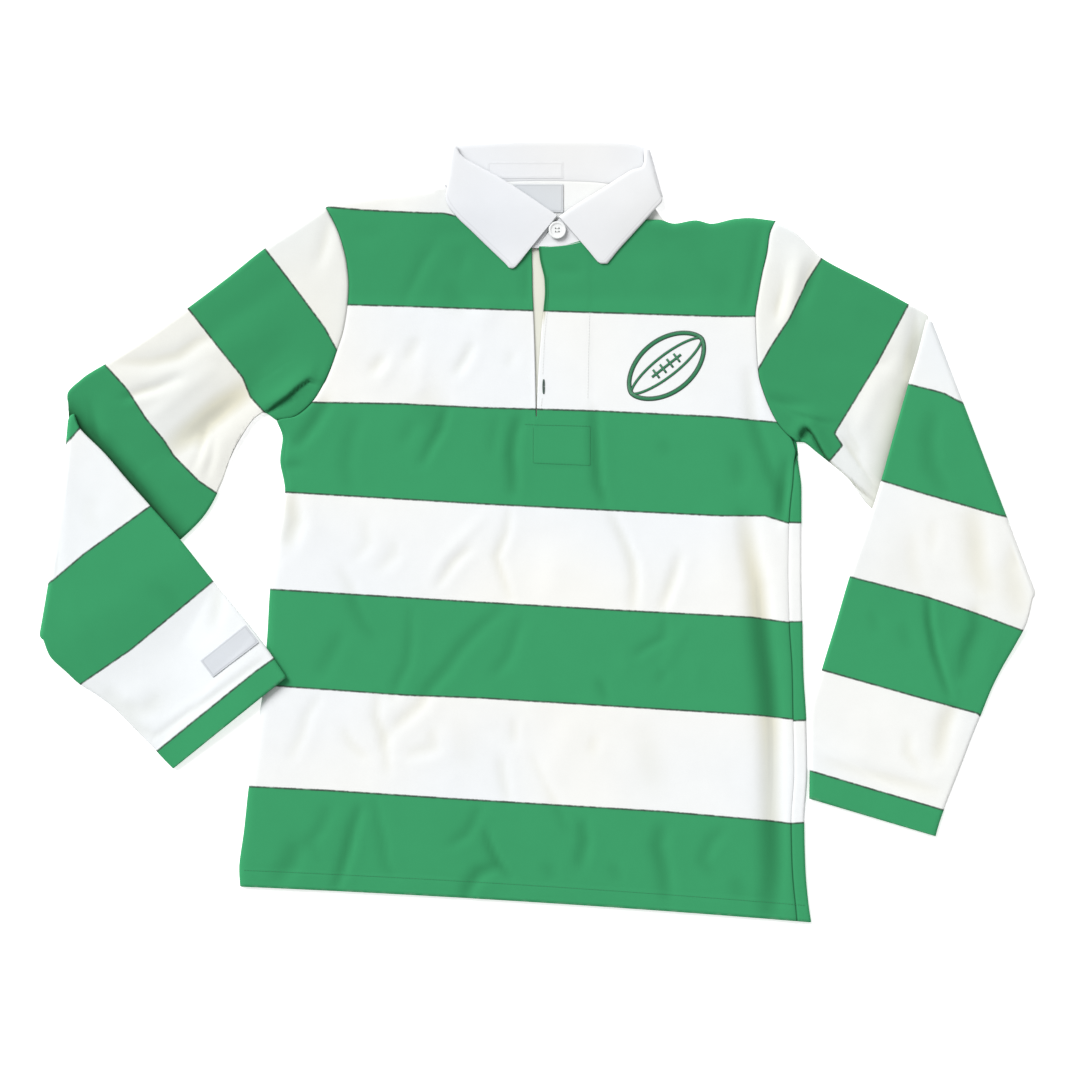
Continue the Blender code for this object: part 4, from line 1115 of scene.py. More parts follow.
@dataclass
class Body:
    """The front over the back, with the placket's strip behind the slit."""

    form: BodyForm
    jersey: bpy.types.Material
    placket: bpy.types.Material

    LEFT_EDGE = (0.0, 0.5, 1.2, 2.2, 3.6, 5.4, 7.6, 10.0)
    SLIT_EDGE = (0.0, 1.2, 3.2)
    YOKE_SHADE = 0.16  # the yoke is drawn a little darker, through the shade attribute
    SEAM_EDGE = (0.0, 0.8, 1.8, 3.4, 6.0)

    def build_front(self) -> bpy.types.Object:
        """The front panel with its neckline, slit and folds."""
        form = self.form
        slit = flow(np.array(SLIT_ROWS), np.linspace(0, len(SLIT_ROWS) - 1, 60))
        middle = form.along(np.zeros((len(form.places), 1)), form.front_top)[:, 0]
        slit_left = np.interp(middle, slit[:, 0], slit[:, 1])
        slit_right = np.interp(middle, slit[:, 0], slit[:, 2])
        left = spread(form.fine[:, 0], slit_left, self.LEFT_EDGE, self.SLIT_EDGE, 62)
        right = spread(slit_right, form.front_end(), self.SLIT_EDGE, self.SEAM_EDGE, 64)
        x = np.concatenate([left, right], axis=1)
        y = form.along(x, form.front_top)
        z = form.front_height(x, y)
        past = x - slit_right[:, None] - 0.7
        # painted shade: a dark line along the slit's right edge above the chest; with the fold shade and the
        # yoke's darkening it goes into the shade attribute
        slit_edge_shade = 1.7 * np.exp(-((past / 1.1) ** 2)) * (past > -1.0) * smooth((y - 212.0) / 18.0)
        yoke = self.YOKE_SHADE * smooth((y - 238.0) / 12.0)
        shade = np.maximum(np.maximum(hollows(form.folds(x, y)), yoke), slit_edge_shade)
        cells = np.ones((x.shape[0] - 1, x.shape[1] - 1), bool)
        cells[middle[1:] > SLIT_ROWS[0].y, left.shape[1] - 1] = False
        grid = ClothGrid(
            np.stack([x, y, z], axis=2), x, y, Hoops(FRONT_HOOPS).field(x, y, -1.0), form.seam(x),
            np.full(x.shape, WALL), cells=cells, hem=y - form.hem(x), shade=shade,
        )
        piece = edited(grid.build("shirt_front"), bpy.ops.mesh.delete_loose, use_faces=False)
        return dress(piece, self.jersey, Slot.JERSEY, ["body_front"])

    def build_back(self) -> bpy.types.Object:
        """The back panel, flat below and rolled up to the side seam on the wearer's left."""
        form = self.form
        wrap = form.fine[:, 4]
        right_x = form.fine[:, 2]
        end = form.front_end()[:, None]
        seam_top = form.front_height(end, form.along(end, form.front_top))[:, 0] + SEAM_DIP
        radius = (seam_top - WALL / 2.0) / 2.0
        turn = math.pi * smooth(wrap / 6.0)
        share = np.linspace(0.0, 1.0, 12)
        angle = turn[:, None] * share
        arc_x = radius[:, None] * np.sin(angle) + 3.5 * share * (1.0 - turn[:, None] / math.pi)
        arc_z = WALL / 2.0 + radius[:, None] * (1.0 - np.cos(angle))
        reach = arc_x.max(axis=1) + WALL / 2.0 * np.sin(np.minimum(turn, math.pi / 2.0))
        lip = np.maximum(wrap - GAP - (reach - arc_x[:, -1]), 0.6)
        step = lip[:, None] * np.linspace(0.0, 1.0, 6)[1:]
        dip = SEAM_DIP * np.exp(-(((lip[:, None] - step) / SEAM_HALF) ** 2)) * smooth(wrap / 6.0)[:, None]
        lip_x = arc_x[:, -1:] + step * np.cos(turn)[:, None]
        lip_z = arc_z[:, -1:] + step * np.sin(turn)[:, None] - dip
        wrap_x = right_x[:, None] - (reach[:, None] - np.concatenate([arc_x, lip_x], axis=1))
        wrap_z = np.concatenate([arc_z, lip_z], axis=1)
        flat_x = spread(form.fine[:, 0], wrap_x[:, 0], (0.0, 1.0, 3.0, 7.0), (4.0, 9.0), 70)
        x = np.concatenate([flat_x, wrap_x], axis=1)
        y = form.along(np.minimum(x, right_x[:, None]), form.back_top)
        edge = smooth((x - form.fine[:, 0:1] - 8.0) / 20.0) * smooth((right_x[:, None] - 24.0 - x) / 20.0)
        flat_z = back_base(x, y) + WALL / 2.0 + relief(BACK_CREASES, x, y) * edge
        z = np.concatenate([flat_z[:, :flat_x.shape[1]], wrap_z], axis=1)
        hoop = Hoops(BACK_HOOPS).field(x, y, -1.0)
        strip = Hoops(STRIP_HOOPS, starts_green=True).field(x, y, -1.0)
        columns = np.arange(x.shape[1])[None, :] + 0 * y
        hoop = np.where((columns >= flat_x.shape[1] + 6) & (y < 90.0), strip, hoop)
        seam = np.full(x.shape, FAR)
        seam[:, -5:] = np.where(wrap[:, None] > 1.0, (lip[:, None] - step), FAR)
        across = np.concatenate([flat_x, wrap_x[:, :1] + arc_length(wrap_x, wrap_z)], axis=1)
        grid = ClothGrid(
            np.stack([x, y, z], axis=2), across, y, hoop, seam, np.full(x.shape, WALL), hem=y - form.hem(x),
        )
        return dress(grid.build("shirt_back"), self.jersey, Slot.JERSEY, ["body_back"])

    def build_underlap(self) -> bpy.types.Object:
        """The placket's inner strip, which shows through the slit."""
        y, x = np.meshgrid(np.linspace(UNDERLAP_FOOT, UNDERLAP_TOP, 60),
                           np.linspace(UNDERLAP_LEFT, UNDERLAP_RIGHT, 16), indexing="ij")
        wall = WALL - 0.1
        seam = y - UNDERLAP_SEAM
        z = front_base(x, y) - GAP - wall / 2.0 - 0.5 * np.exp(-((seam / 1.6) ** 2))
        grid = ClothGrid(np.stack([x, y, z], axis=2), x, y, 0 * x - FAR, seam, np.full(x.shape, wall))
        return dress(grid.build("placket_strip"), self.placket, Slot.PLACKET, ["placket_underlap"])


def arc_length(x: Array, z: Array) -> Array:
    """Distance along each row of points."""
    steps = np.hypot(np.diff(x, axis=1), np.diff(z, axis=1))
    return np.concatenate([np.zeros((len(x), 1)), np.cumsum(steps, axis=1)], axis=1)


# ---- sleeves ----

@dataclass
class Sleeve:
    """A laid sleeve: a flattened tube from the armhole over the elbow's fold to the cuff."""

    side: Side
    form: BodyForm
    jersey: bpy.types.Material
    upper: Sequence[Station]
    elbow: ElbowFold
    forearm: Sequence[Station]
    upper_creases: tuple
    forearm_creases: tuple
    upper_hoops: Hoops
    forearm_hoops: Hoops
    tucks: Sequence[Tuck] = ()
    corners: tuple = (9.0, 7.0)  # over how much of its ends the elbow's fold is rounded off
    contact: float = 2.1  # shade on the upper sleeve beside the forearm
    contact_reach: float = 10.0
    pitch: float = 3.3

    UPPER_SHADE = 0.28  # painted shade that leaves the whole upper sleeve a little darker than the forearm
    EDGE_TURNS = (0, 18, 36, 54, 72, 90)
    EDGE_REACH = 3.4

    def __post_init__(self) -> None:
        """Works out the armhole and the tube's cross-section."""
        edge = self.form.edge(self.side)[self.form.places >= UNDERARM][::-1]
        tangent = np.gradient(edge, axis=0)
        tangent /= np.linalg.norm(tangent, axis=1, keepdims=True)
        out = np.stack([tangent[:, 1], -tangent[:, 0]], axis=1)
        out *= np.sign(out[:, :1]) * self.side.value
        self.hole = edge + out * GAP
        steps = np.hypot(*np.diff(self.hole, axis=0).T)
        self.hole_shares = np.concatenate([[0.0], np.cumsum(steps)]) / steps.sum()
        start, end = self.hole[0], self.hole[-1]
        self.outline = [tuple(start)] + [(s.outer_x, s.outer_y) for s in self.upper]
        self.outline += [(self.elbow.outer_x, self.elbow.outer_y), (self.elbow.under_x, self.elbow.under_y)]
        self.outline += [(s.under_x, s.under_y) for s in reversed(self.upper)] + [tuple(end)]

    def away(self) -> Array:
        """Level direction out of the sleeve, square to the elbow's fold."""
        run_x = self.elbow.under_x - self.elbow.outer_x
        run_y = self.elbow.under_y - self.elbow.outer_y
        out = np.array([run_y, -run_x]) / math.hypot(run_x, run_y)
        return out if out[0] * self.side.value > 0 else -out

    def section(self, count: int = 74) -> tuple:
        """The tube's columns, top layer first and then the lower one back.

        Args:
            count: columns on each layer between the rounded edges.

        Returns:
            Fixed part and share of the width for each column, and its height from -1 to 1.
        """
        turns = np.radians(self.EDGE_TURNS)
        reach = self.EDGE_REACH
        rise = WALL / 2.0 + reach * (1.0 - np.cos(turns))
        share = np.linspace(0.0, 1.0, count + 2)[1:-1]
        fixed = np.concatenate([rise, rise[-1] * (1.0 - 2.0 * share), -rise[::-1]])
        part = np.concatenate([0 * rise, share, 0 * rise + 1.0])
        high = np.concatenate([np.sin(turns), 0 * share + 1.0, np.sin(turns)[::-1]])
        back = slice(-2, 0, -1)
        return (
            np.concatenate([fixed, fixed[back]]), np.concatenate([part, part[back]]),
            np.concatenate([high, -high[back]]),
        )

    def elbow_station(self) -> Array:
        """The flat cloth's last line before the fold: ends, carry and bow."""
        elbow, out = self.elbow, self.away()
        inset = 2.0 * SLEEVE_HALF + FOLD_CLEAR
        x0, y0 = np.array([elbow.outer_x, elbow.outer_y]) - out * inset
        x1, y1 = np.array([elbow.under_x, elbow.under_y]) - out * inset
        return np.array([x0, y0, x1, y1, 0.0, elbow.bow])

    def run(self, stations: Sequence[Sequence[float]]) -> tuple:
        """Fine lines across the sleeve between stations.

        Args:
            stations: ends, carry and bow of each line.

        Returns:
            The fine table and the distance along the sleeve.
        """
        table = np.array(stations, float)
        middle = (table[:, 0:2] + table[:, 2:4]) / 2.0
        ends = np.abs(np.diff(table[:, :4], axis=0))
        spans = np.maximum(np.hypot(ends[:, 0], ends[:, 1]), np.hypot(ends[:, 2], ends[:, 3]))
        places = finer(spans, self.pitch)
        lengths = np.concatenate([[0.0], np.cumsum(np.hypot(*np.diff(middle, axis=0).T))])
        return flow(table, places), np.interp(places, np.arange(len(table)), lengths)

    def plan(self, table: Array, fixed: Array, part: Array) -> tuple:
        """Plan places of a tube's columns on each line, and how far across they lie."""
        x0, y0, x1, y1, carry, bow = (table[:, k:k + 1] for k in range(6))
        width = np.hypot(x1 - x0, y1 - y0)
        across = fixed + part * width
        share = across / width
        hole_x = np.interp(share, self.hole_shares, self.hole[:, 0])
        hole_y = np.interp(share, self.hole_shares, self.hole[:, 1])
        (start_x, start_y), (end_x, end_y) = self.hole[0], self.hole[-1]
        bend_x = hole_x - start_x - (end_x - start_x) * share
        bend_y = hole_y - start_y - (end_y - start_y) * share
        inward = 4.0 * bow * share * (1.0 - share)
        out = self.away()
        x = x0 + (x1 - x0) * share + carry * bend_x - out[0] * inward
        y = y0 + (y1 - y0) * share + carry * bend_y - out[1] * inward
        return x, y, across, width

    def support(self, x: Array, y: Array) -> Array:
        """What lies under the forearm."""
        height = (2 * SLEEVE_HALF + LAYER_CLEAR) * drape(outline_distance(self.outline, x, y))
        if self.side is Side.RIGHT:
            rows = BODY_ROWS[:UNDERARM + 1]
            body = [(row.left_x, row.left_y) for row in rows]
            body += [(0.0, rows[-1].left_y), (0.0, rows[0].left_y)]
            height = np.maximum(height, BODY_EDGE_TOP * drape(outline_distance(body, x, y)))
        return height

    def build(self, name: str, node: str) -> bpy.types.Object:
        """The whole tube.

        Args:
            name: the piece's name.
            node: the CAD node that it stands for.

        Returns:
            The dressed piece.
        """
        fixed, part, high = self.section()
        half = SLEEVE_HALF - WALL / 2.0
        start, end = self.hole[0], self.hole[-1]
        hole = [start[0], start[1], end[0], end[1], 1.0, 0.0]
        fold = self.elbow_station()
        upper, upper_run = self.run([hole] + [[*s, 0.0] for s in self.upper] + [fold])
        x, y, across, width = self.plan(upper, fixed, part)
        from_hole = upper_run[:, None] + 0 * x
        folded, lip_shade = tucked(self.tucks, x, y)
        folds = folds_of(self.upper_creases, x, y)
        # painted shade on the upper sleeve's top layer: in folds, beside the forearm, under the tucks' lips
        # and a little over all of it
        shade = np.maximum(hollows(folds), self.beside_forearm(x, y))
        shade = np.maximum(np.maximum(shade, lip_shade), self.UPPER_SHADE) * (high > 0)
        lift = (folds + folded) * np.sqrt(np.abs(high))
        z = SLEEVE_HALF + half * high + np.where(high > 0, lift, 0.0)
        z = z - 0.9 * np.exp(-((from_hole / 1.8) ** 2)) * (high > 0)
        parts = [(x, y, z, upper_run, across, width, self.upper_hoops.field(x, y, self.turn()),
                  from_hole, shade)]
        parts.append(self.fold_rings(fixed, part, high, half, upper_run[-1]))
        lower, lower_run = self.run([fold] + [[*s, 0.0] for s in self.forearm])
        lower, lower_run = lower[1:], lower_run[1:] + upper_run[-1] + math.pi * SLEEVE_HALF
        x, y, across, width = self.plan(lower, fixed, part)
        folds = folds_of(self.forearm_creases, x, y) * (high < 0)
        lift = folds * np.abs(high)
        to_cuff = (lower_run[-1] - lower_run)[:, None] + 0 * x
        hem = TURNED_UP * smooth((CUFF_HEM_DEPTH - to_cuff) / 4.0 + 0.5)
        z = self.support(x, y) + SLEEVE_HALF - half * high + lift + hem * (high < 0)
        # the forearm keeps painted shade in its folds
        parts.append((x, y, z, lower_run, across, width, self.forearm_hoops.field(x, y, -1.0),
                      0 * x + FAR, hollows(folds)))
        return self.shell(name, node, parts, high)

    def beside_forearm(self, x: Array, y: Array) -> Array:
        """How much the forearm keeps light from the upper sleeve next to it, from 0 to 1."""
        outline = [(self.elbow.outer_x, self.elbow.outer_y)] + [(s.outer_x, s.outer_y) for s in self.forearm]
        outline += [(s.under_x, s.under_y) for s in reversed(self.forearm)]
        outline.append((self.elbow.under_x, self.elbow.under_y))
        away = outline_distance(outline, x, y)
        return self.contact * np.exp(-away / self.contact_reach)

    def turn(self) -> float:
        """Which side of a hoop line leads to the cuff: lines run from the outer edge to the under one."""
        return 1.0 if self.side is Side.LEFT else -1.0

    def fold_rings(self, fixed: Array, part: Array, high: Array, half: float, run: float) -> tuple:
        """The rings round the elbow's fold."""
        turns = np.radians(np.arange(10, 180, 10))[:, None]
        elbow, out = self.elbow, self.away()
        radius = SLEEVE_HALF + FOLD_CLEAR
        line = np.array([[elbow.outer_x, elbow.outer_y, elbow.under_x, elbow.under_y, 0.0, elbow.bow]])
        x, y, across, width = self.plan(np.repeat(line, len(turns), axis=0), fixed, part)
        level = radius * np.sin(turns) - radius - SLEEVE_HALF - np.sin(turns) * half * high
        near, far = (1.0 - np.clip(reach / corner, 0.0, 1.0)
                     for reach, corner in zip((across, width - across), self.corners))
        rounded = 2.0 - np.sqrt(1.0 - near**2) - np.sqrt(1.0 - far**2)
        level = level - rounded * (radius + SLEEVE_HALF) * np.sin(turns)
        unrolled = -(radius + SLEEVE_HALF) * np.abs(1.0 - turns / (math.pi / 2.0))
        flat_x, flat_y = x + out[0] * unrolled, y + out[1] * unrolled
        hoop = np.where(turns < math.pi / 2.0, self.upper_hoops.field(flat_x, flat_y, self.turn()),
                        self.forearm_hoops.field(flat_x, flat_y, -1.0))
        x, y = x + out[0] * level, y + out[1] * level
        z = SLEEVE_HALF + radius * (1.0 - np.cos(turns)) + np.cos(turns) * half * high
        runs = run + SLEEVE_HALF * turns[:, 0]
        return x, y, z, runs, across, width, hoop, 0 * x + FAR, 0 * x

    def shell(self, name: str, node: str, parts: Sequence[tuple], high: Array) -> bpy.types.Object:
        """One closed tube from its stretches."""
        x, y, z, runs, across, width, hoop, seam, shade = (
            np.concatenate([np.broadcast_to(p[k] if k != 3 else p[3][:, None], p[0].shape) for p in parts])
            for k in range(9)
        )
        below = np.arange(len(high)) >= len(high) // 2 + 1
        around = np.where(below, 2.0 * width - across, across)
        grid = ClothGrid(
            np.stack([x, y, z], axis=2), around, runs, hoop, seam, np.full(x.shape, WALL), ring=True,
            bulge=0.2, hem=runs.max() - runs, shade=shade,
        )
        return dress(grid.build(name), self.jersey, Slot.JERSEY, [node])


# ---- collar ----

@dataclass
class Collar:
    """A turned collar: the fall rolls over the band's top edge and lies on the front, or under the back."""

    twill: bpy.types.Material
    pitch: float = 2.6

    CURL = 1.3  # how far from the roll's line the fall and the band part
    LAP = 2.0  # how far the band laps over the neckline
    TOPSTITCH = 4.0  # from the fall's edge
    CLOSE_EDGE = 0.45  # the fall's free edge lies this much lower than its middle
    CROWN = 0.7  # and its middle stands this much higher

    def sections(self) -> Array:
        """The table's rows from front edge to front edge, with turn in degrees and side."""
        def rows(table: Sequence[CollarRow], turn: float, side: float) -> list:
            """Numbers of some rows."""
            return [[*row, turn, side] for row in table]

        listed = rows(COLLAR_FRONT_RIGHT, 0.0, -1.0)
        for turn in (30, 60, 90, 120, 150):
            listed += rows([COLLAR_TURN_RIGHT], turn, -1.0)
        listed += rows(COLLAR_BACK, 180.0, 0.0)
        for turn in (150, 120, 90, 60, 30):
            listed += rows([COLLAR_TURN_LEFT], turn, 1.0)
        listed += rows(COLLAR_FRONT_LEFT, 0.0, 1.0)
        return np.array(listed, float)

    def fine(self) -> Array:
        """Fine sections, and their distance along the roll in a last column."""
        table = self.sections()
        ends = np.diff(table[:, :4], axis=0)
        spans = np.maximum(np.hypot(ends[:, 0], ends[:, 1]), np.hypot(ends[:, 2], ends[:, 3]))
        spans = np.maximum(spans, np.where(np.diff(table[:, 6]) != 0, 6.0, 0.0))
        places = finer(list(spans), self.pitch)
        lengths = np.concatenate([[0.0], np.cumsum(spans)])
        fine = flow(table, places)
        return np.column_stack([fine, np.interp(places, np.arange(len(table)), lengths)])

    @staticmethod
    def laid(x: Array, y: Array, fine: Array, high: Array, low: float, inset: float) -> Array:
        """Where a strip lies that passes from the front's height to the back's one.

        Args:
            x: plan places.
            y: plan places.
            fine: the fine sections.
            high: height of the strip's middle on the front.
            low: its height at the back.
            inset: how far inside the turn the strip stands.

        Returns:
            Its points.
        """
        angle = np.radians(fine[:, 6])[:, None]
        side = fine[:, 7][:, None]
        radius = (high - low) / 2.0
        upright = smooth(np.minimum(fine[:, 6], 180.0 - fine[:, 6]) / 28.0)[:, None]
        z = low + radius * (1.0 + np.cos(angle))
        x = x + side * (radius * np.sin(angle) - radius - TWILL / 2.0 - inset) * upright
        return np.stack([x, y, z], axis=2)

    def leaf_height(self, x: Array, y: Array, share: Array) -> Array:
        """Middle of the fall's wall where it lies on the front."""
        crown = self.CROWN * np.sin(math.pi * np.clip(share, 0.0, 1.0))
        return front_base(x, y) + WALL + LEAF_CLEAR + TWILL / 2.0 + crown - self.CLOSE_EDGE * share**3

    def build(self) -> bpy.types.Object:
        """The collar's cloth: the fall from its free edge, the roll, and the band down to the neckline."""
        fine = self.fine()
        roll, leaf, seam = fine[:, 0:2], fine[:, 2:4], fine[:, 4:6]
        size = np.hypot(*(leaf - roll).T)[:, None]
        deep = np.hypot(*(seam - roll).T)[:, None] + self.LAP
        apart = self.CURL
        fall_places = apart + (size - apart) * np.linspace(1.0, 0.0, 22)
        fall_x, fall_y, share = self.strip(roll, leaf, size, fall_places)
        high = self.leaf_height(fall_x, fall_y, share)
        fall = self.laid(fall_x, fall_y, fine, high, TWILL / 2.0, 0.0)
        places = apart + (deep - apart) * np.linspace(0.0, 1.0, 15) ** 0.9
        band_x, band_y, _ = self.strip(roll, seam, deep - self.LAP, places)
        lip = smooth((places - deep + 4.5) / 3.0)
        high = front_base(band_x, band_y) - 0.5 + TWILL / 2.0 + 1.22 * lip
        low = COLLAR_LIFT + TWILL / 2.0 + 0.56 * lip
        band = self.laid(band_x, band_y, fine, high, low, 4.0)
        middle = (fall[:, -1] + band[:, 0]) / 2.0
        arm = fall[:, -1] - middle
        inward = (leaf - roll) / size
        reach = np.minimum(np.linalg.norm(arm, axis=1, keepdims=True), 1.5)
        beyond = np.concatenate([-inward, np.zeros((len(fine), 1))], axis=1) * reach
        turns = np.radians(np.arange(18, 163, 18))
        curl = np.stack([middle + arm * math.cos(t) + beyond * math.sin(t) for t in turns], axis=1)
        points = np.concatenate([fall, curl, band], axis=1)
        flat = size * (1.0 - share)
        around = size + 1.3 * turns[None, :]
        across = np.concatenate([flat, around, size + 1.3 * math.pi + places], axis=1)
        run = fine[:, 8:9] + 0 * across
        from_front = np.minimum(run, fine[-1, 8] - run)
        free = np.concatenate([flat, 0 * around + 30.0, 0 * places + 30.0], axis=1)
        edge = np.minimum(free, np.where(free < 30.0, from_front, 30.0)) - self.TOPSTITCH
        wall = np.concatenate(
            [0 * flat + TWILL, 0 * around + 1.5, TWILL - (TWILL - 0.3) * lip + 0 * places], axis=1
        )
        grid = ClothGrid(points, across, run, 0 * across - FAR, edge, wall, bulge=0.35)
        return dress(grid.build("collar_cloth"), self.twill, Slot.TWILL, ["collar_leaf", "collar_stand"])

    @staticmethod
    def strip(start: Array, end: Array, size: Array, places: Array) -> tuple:
        """Plan places at distances from one line towards another, and their share of the way."""
        share = places / size
        return (start[:, 0:1] + (end - start)[:, 0:1] * share, start[:, 1:2] + (end - start)[:, 1:2] * share,
                share)


# ---- button ----

@dataclass
class NeckButton:
    """A turned four-hole button sewn to the band."""

    material: bpy.types.Material
    thread: bpy.types.Material
    radius: float = BUTTON_RADIUS
    thick: float = BUTTON_THICK
    rim: float = 1.9
    dish: float = 0.8
    hole: float = 0.85
    spacing: float = 3.4

    def base(self) -> float:
        """Height of the button's underside."""
        reach = front_base(np.array(BUTTON_X), np.array(BUTTON_Y + self.radius))
        return float(reach) - 0.5 + TWILL + GAP

    def cylinder(self, x: float, y: float, radius: float, depth: float, sides: int) -> bpy.types.Object:
        """An upright cylinder at the button's middle height, selected alone."""
        bpy.ops.object.select_all(action="DESELECT")
        bpy.ops.mesh.primitive_cylinder_add(
            vertices=sides, radius=radius * MM, depth=depth * MM,
            location=(x * MM, y * MM, (self.base() + self.thick / 2.0) * MM),
        )
        return bpy.context.object

    def build(self) -> bpy.types.Object:
        """The button, modelled from a disc with a dished face, a soft rim and four holes."""
        button = self.cylinder(BUTTON_X, BUTTON_Y, self.radius, self.thick, 96)
        button.name = "button_disc"
        bpy.ops.object.transform_apply(location=True, rotation=True, scale=True)
        bpy.ops.object.mode_set(mode="EDIT")
        bpy.ops.mesh.select_all(action="DESELECT")
        bpy.ops.object.mode_set(mode="OBJECT")
        for polygon in button.data.polygons:
            polygon.select = polygon.normal.z > 0.9
        bpy.ops.object.mode_set(mode="EDIT")
        bpy.ops.mesh.inset(thickness=self.rim * MM, depth=0.0)
        bpy.ops.mesh.inset(thickness=1.0 * MM, depth=-self.dish * MM)
        bpy.ops.object.mode_set(mode="OBJECT")
        bevel = button.modifiers.new("soft rim", "BEVEL")
        bevel.width = 0.55 * MM
        bevel.segments = 4
        bevel.limit_method = "ANGLE"
        bevel.angle_limit = math.radians(20)
        bpy.ops.object.modifier_apply(modifier=bevel.name)
        self.drill(button)
        bpy.ops.object.shade_smooth_by_angle(angle=math.radians(35))
        return dress(button, self.material, Slot.BUTTON, ["neck_button"])

    def drill(self, button: bpy.types.Object) -> None:
        """Cuts the four thread holes."""
        half = self.spacing / 2.0
        for a, b in ((-1, -1), (-1, 1), (1, -1), (1, 1)):
            x, y = BUTTON_X + a * half, BUTTON_Y + b * half
            cutter = self.cylinder(x, y, self.hole, 3.0 * self.thick, 24)
            cut = button.modifiers.new("thread hole", "BOOLEAN")
            cut.operation = "DIFFERENCE"
            cut.solver = "EXACT"
            cut.object = cutter
            bpy.context.view_layer.objects.active = button
            bpy.ops.object.modifier_apply(modifier=cut.name)
            bpy.data.objects.remove(cutter)
        button.select_set(True)

    def build_thread(self) -> bpy.types.Object:
        """Four passes of thread through the holes, two pairs side by side."""
        top = self.base() + self.thick - self.dish
        runs = []
        half = self.spacing / 2.0
        for b in (-1, 1):
            for offset in (-0.22, 0.22):
                y = BUTTON_Y + b * half + offset
                line = []
                for share in np.linspace(0.0, 1.0, 13):
                    swing = math.sin(math.pi * share)
                    x = BUTTON_X + (share - 0.5) * (self.spacing + 0.3)
                    line.append((x, y, top - 1.6 + 2.0 * min(swing * 1.9, 1.0)))
                runs.append(tube(np.array(line), 0.2, 8))
        points, faces = joined(runs)
        return dress(mesh_object("button_thread", points * MM, faces), self.thread, Slot.BUTTON)


def tube(line: Array, radius: float, around: int) -> tuple:
    """A closed round tube of quads along a line.

    Args:
        line: the points that it follows.
        radius: its radius.
        around: faces round it, an even number.

    Returns:
        Its points and faces.
    """
    forward = np.gradient(line, axis=0)
    forward /= np.linalg.norm(forward, axis=1, keepdims=True)
    side = np.cross(forward, (0.0, 0.31, 0.95))
    side /= np.linalg.norm(side, axis=1, keepdims=True)
    up = np.cross(side, forward)
    turns = 2.0 * math.pi * np.arange(around) / around
    taper = np.ones(len(line))
    taper[[0, -1]] = 0.45
    rings = [
        line + (side * math.cos(t) + up * math.sin(t)) * (radius * taper)[:, None] for t in turns
    ]
    points = np.stack(rings, axis=1).reshape(-1, 3)
    faces = []
    for i in range(len(line) - 1):
        for k in range(around):
            after = (k + 1) % around
            faces.append((i * around + k, i * around + after, (i + 1) * around + after, (i + 1) * around + k))
    last = (len(line) - 1) * around
    for k in range(1, around - 2, 2):
        faces.append((0, k + 2, k + 1, k))
        faces.append((last, last + k, last + k + 1, last + k + 2))
    return points, np.array(faces)[:, ::-1]


def joined(parts: Sequence[tuple]) -> tuple:
    """Points and faces of several meshes as one."""
    points, faces, count = [], [], 0
    for part_points, part_faces in parts:
        points.append(part_points)
        faces.append(part_faces + count)
        count += len(part_points)
    return np.concatenate(points), np.concatenate(faces)


# ---- labels ----

@dataclass
class Labels:
    """The neck tape and the two blank labels."""

    label: bpy.types.Material
    twill: bpy.types.Material

    def patch(self, name: str, corners: Line, under: Height, wall: float, node: str,
              slot: Slot, material: bpy.types.Material) -> bpy.types.Object:
        """A flat four-cornered piece that lies on the cloth below it.

        Args:
            name: its name.
            corners: its corners in order.
            under: height of its underside.
            wall: its thickness.
            node: the CAD node that it stands for.
            slot: its material slot.
            material: its finish.

        Returns:
            The dressed piece.
        """
        a, b, c, d = (np.array(corner) for corner in corners)
        wide, high = np.linalg.norm(b - a), np.linalg.norm(d - a)
        v, u = np.meshgrid(self.cells(high), self.cells(wide), indexing="ij")
        u, v = u[..., None], v[..., None]
        plan = (a * (1 - u) + b * u) * (1 - v) + (d * (1 - u) + c * u) * v
        x, y = plan[..., 0], plan[..., 1]
        across, along = u[..., 0] * wide, v[..., 0] * high
        edge = np.minimum(np.minimum(across, wide - across), np.minimum(along, high - along))
        puff = 0.15 * wall * np.exp(-(((edge - 2.6) / 1.2) ** 2))
        z = under(x, y) + wall / 2.0 + puff
        grid = ClothGrid(np.stack([x, y, z], axis=2), across, along, 0 * x - FAR, edge - 1.4,
                         np.full(x.shape, wall), bulge=0.25 * wall)
        return dress(grid.build(name), material, slot, [node])

    @staticmethod
    def cells(length: float) -> Array:
        """Shares of a length, with a fine step at both ends that keeps the edge crisp."""
        edge = 0.2 / length
        return np.concatenate([[0.0], np.linspace(edge, 1.0 - edge, int(length / 1.5) + 1), [1.0]])

    def build(self, sleeve: bpy.types.Object) -> list:
        """All three, the last one lying on the wearer's right sleeve."""
        surface = Surface([sleeve])

        def on_sleeve(x: Array, y: Array) -> Array:
            """Height of the sleeve, evened out under the stiff label."""
            raw = np.array([[surface.height(px, py) for px, py in zip(*row)] for row in zip(x, y)])
            return raw + GAP - 0.05

        return [
            self.patch("neck_binding", NECK_TAPE,
                       lambda x, y: 0 * x + COLLAR_LIFT + TWILL + 0.03, 0.15, "neck_tape",
                       Slot.TWILL, self.twill),
            self.patch("size_label", NECK_LABEL, lambda x, y: back_base(x, y) + WALL + GAP, LABEL_WALL,
                       "neck_label", Slot.LABEL, self.label),
            self.patch("cuff_label", SLEEVE_LABEL, on_sleeve, LABEL_WALL, "sleeve_label", Slot.LABEL,
                       self.label),
        ]


# ---- sewing ----

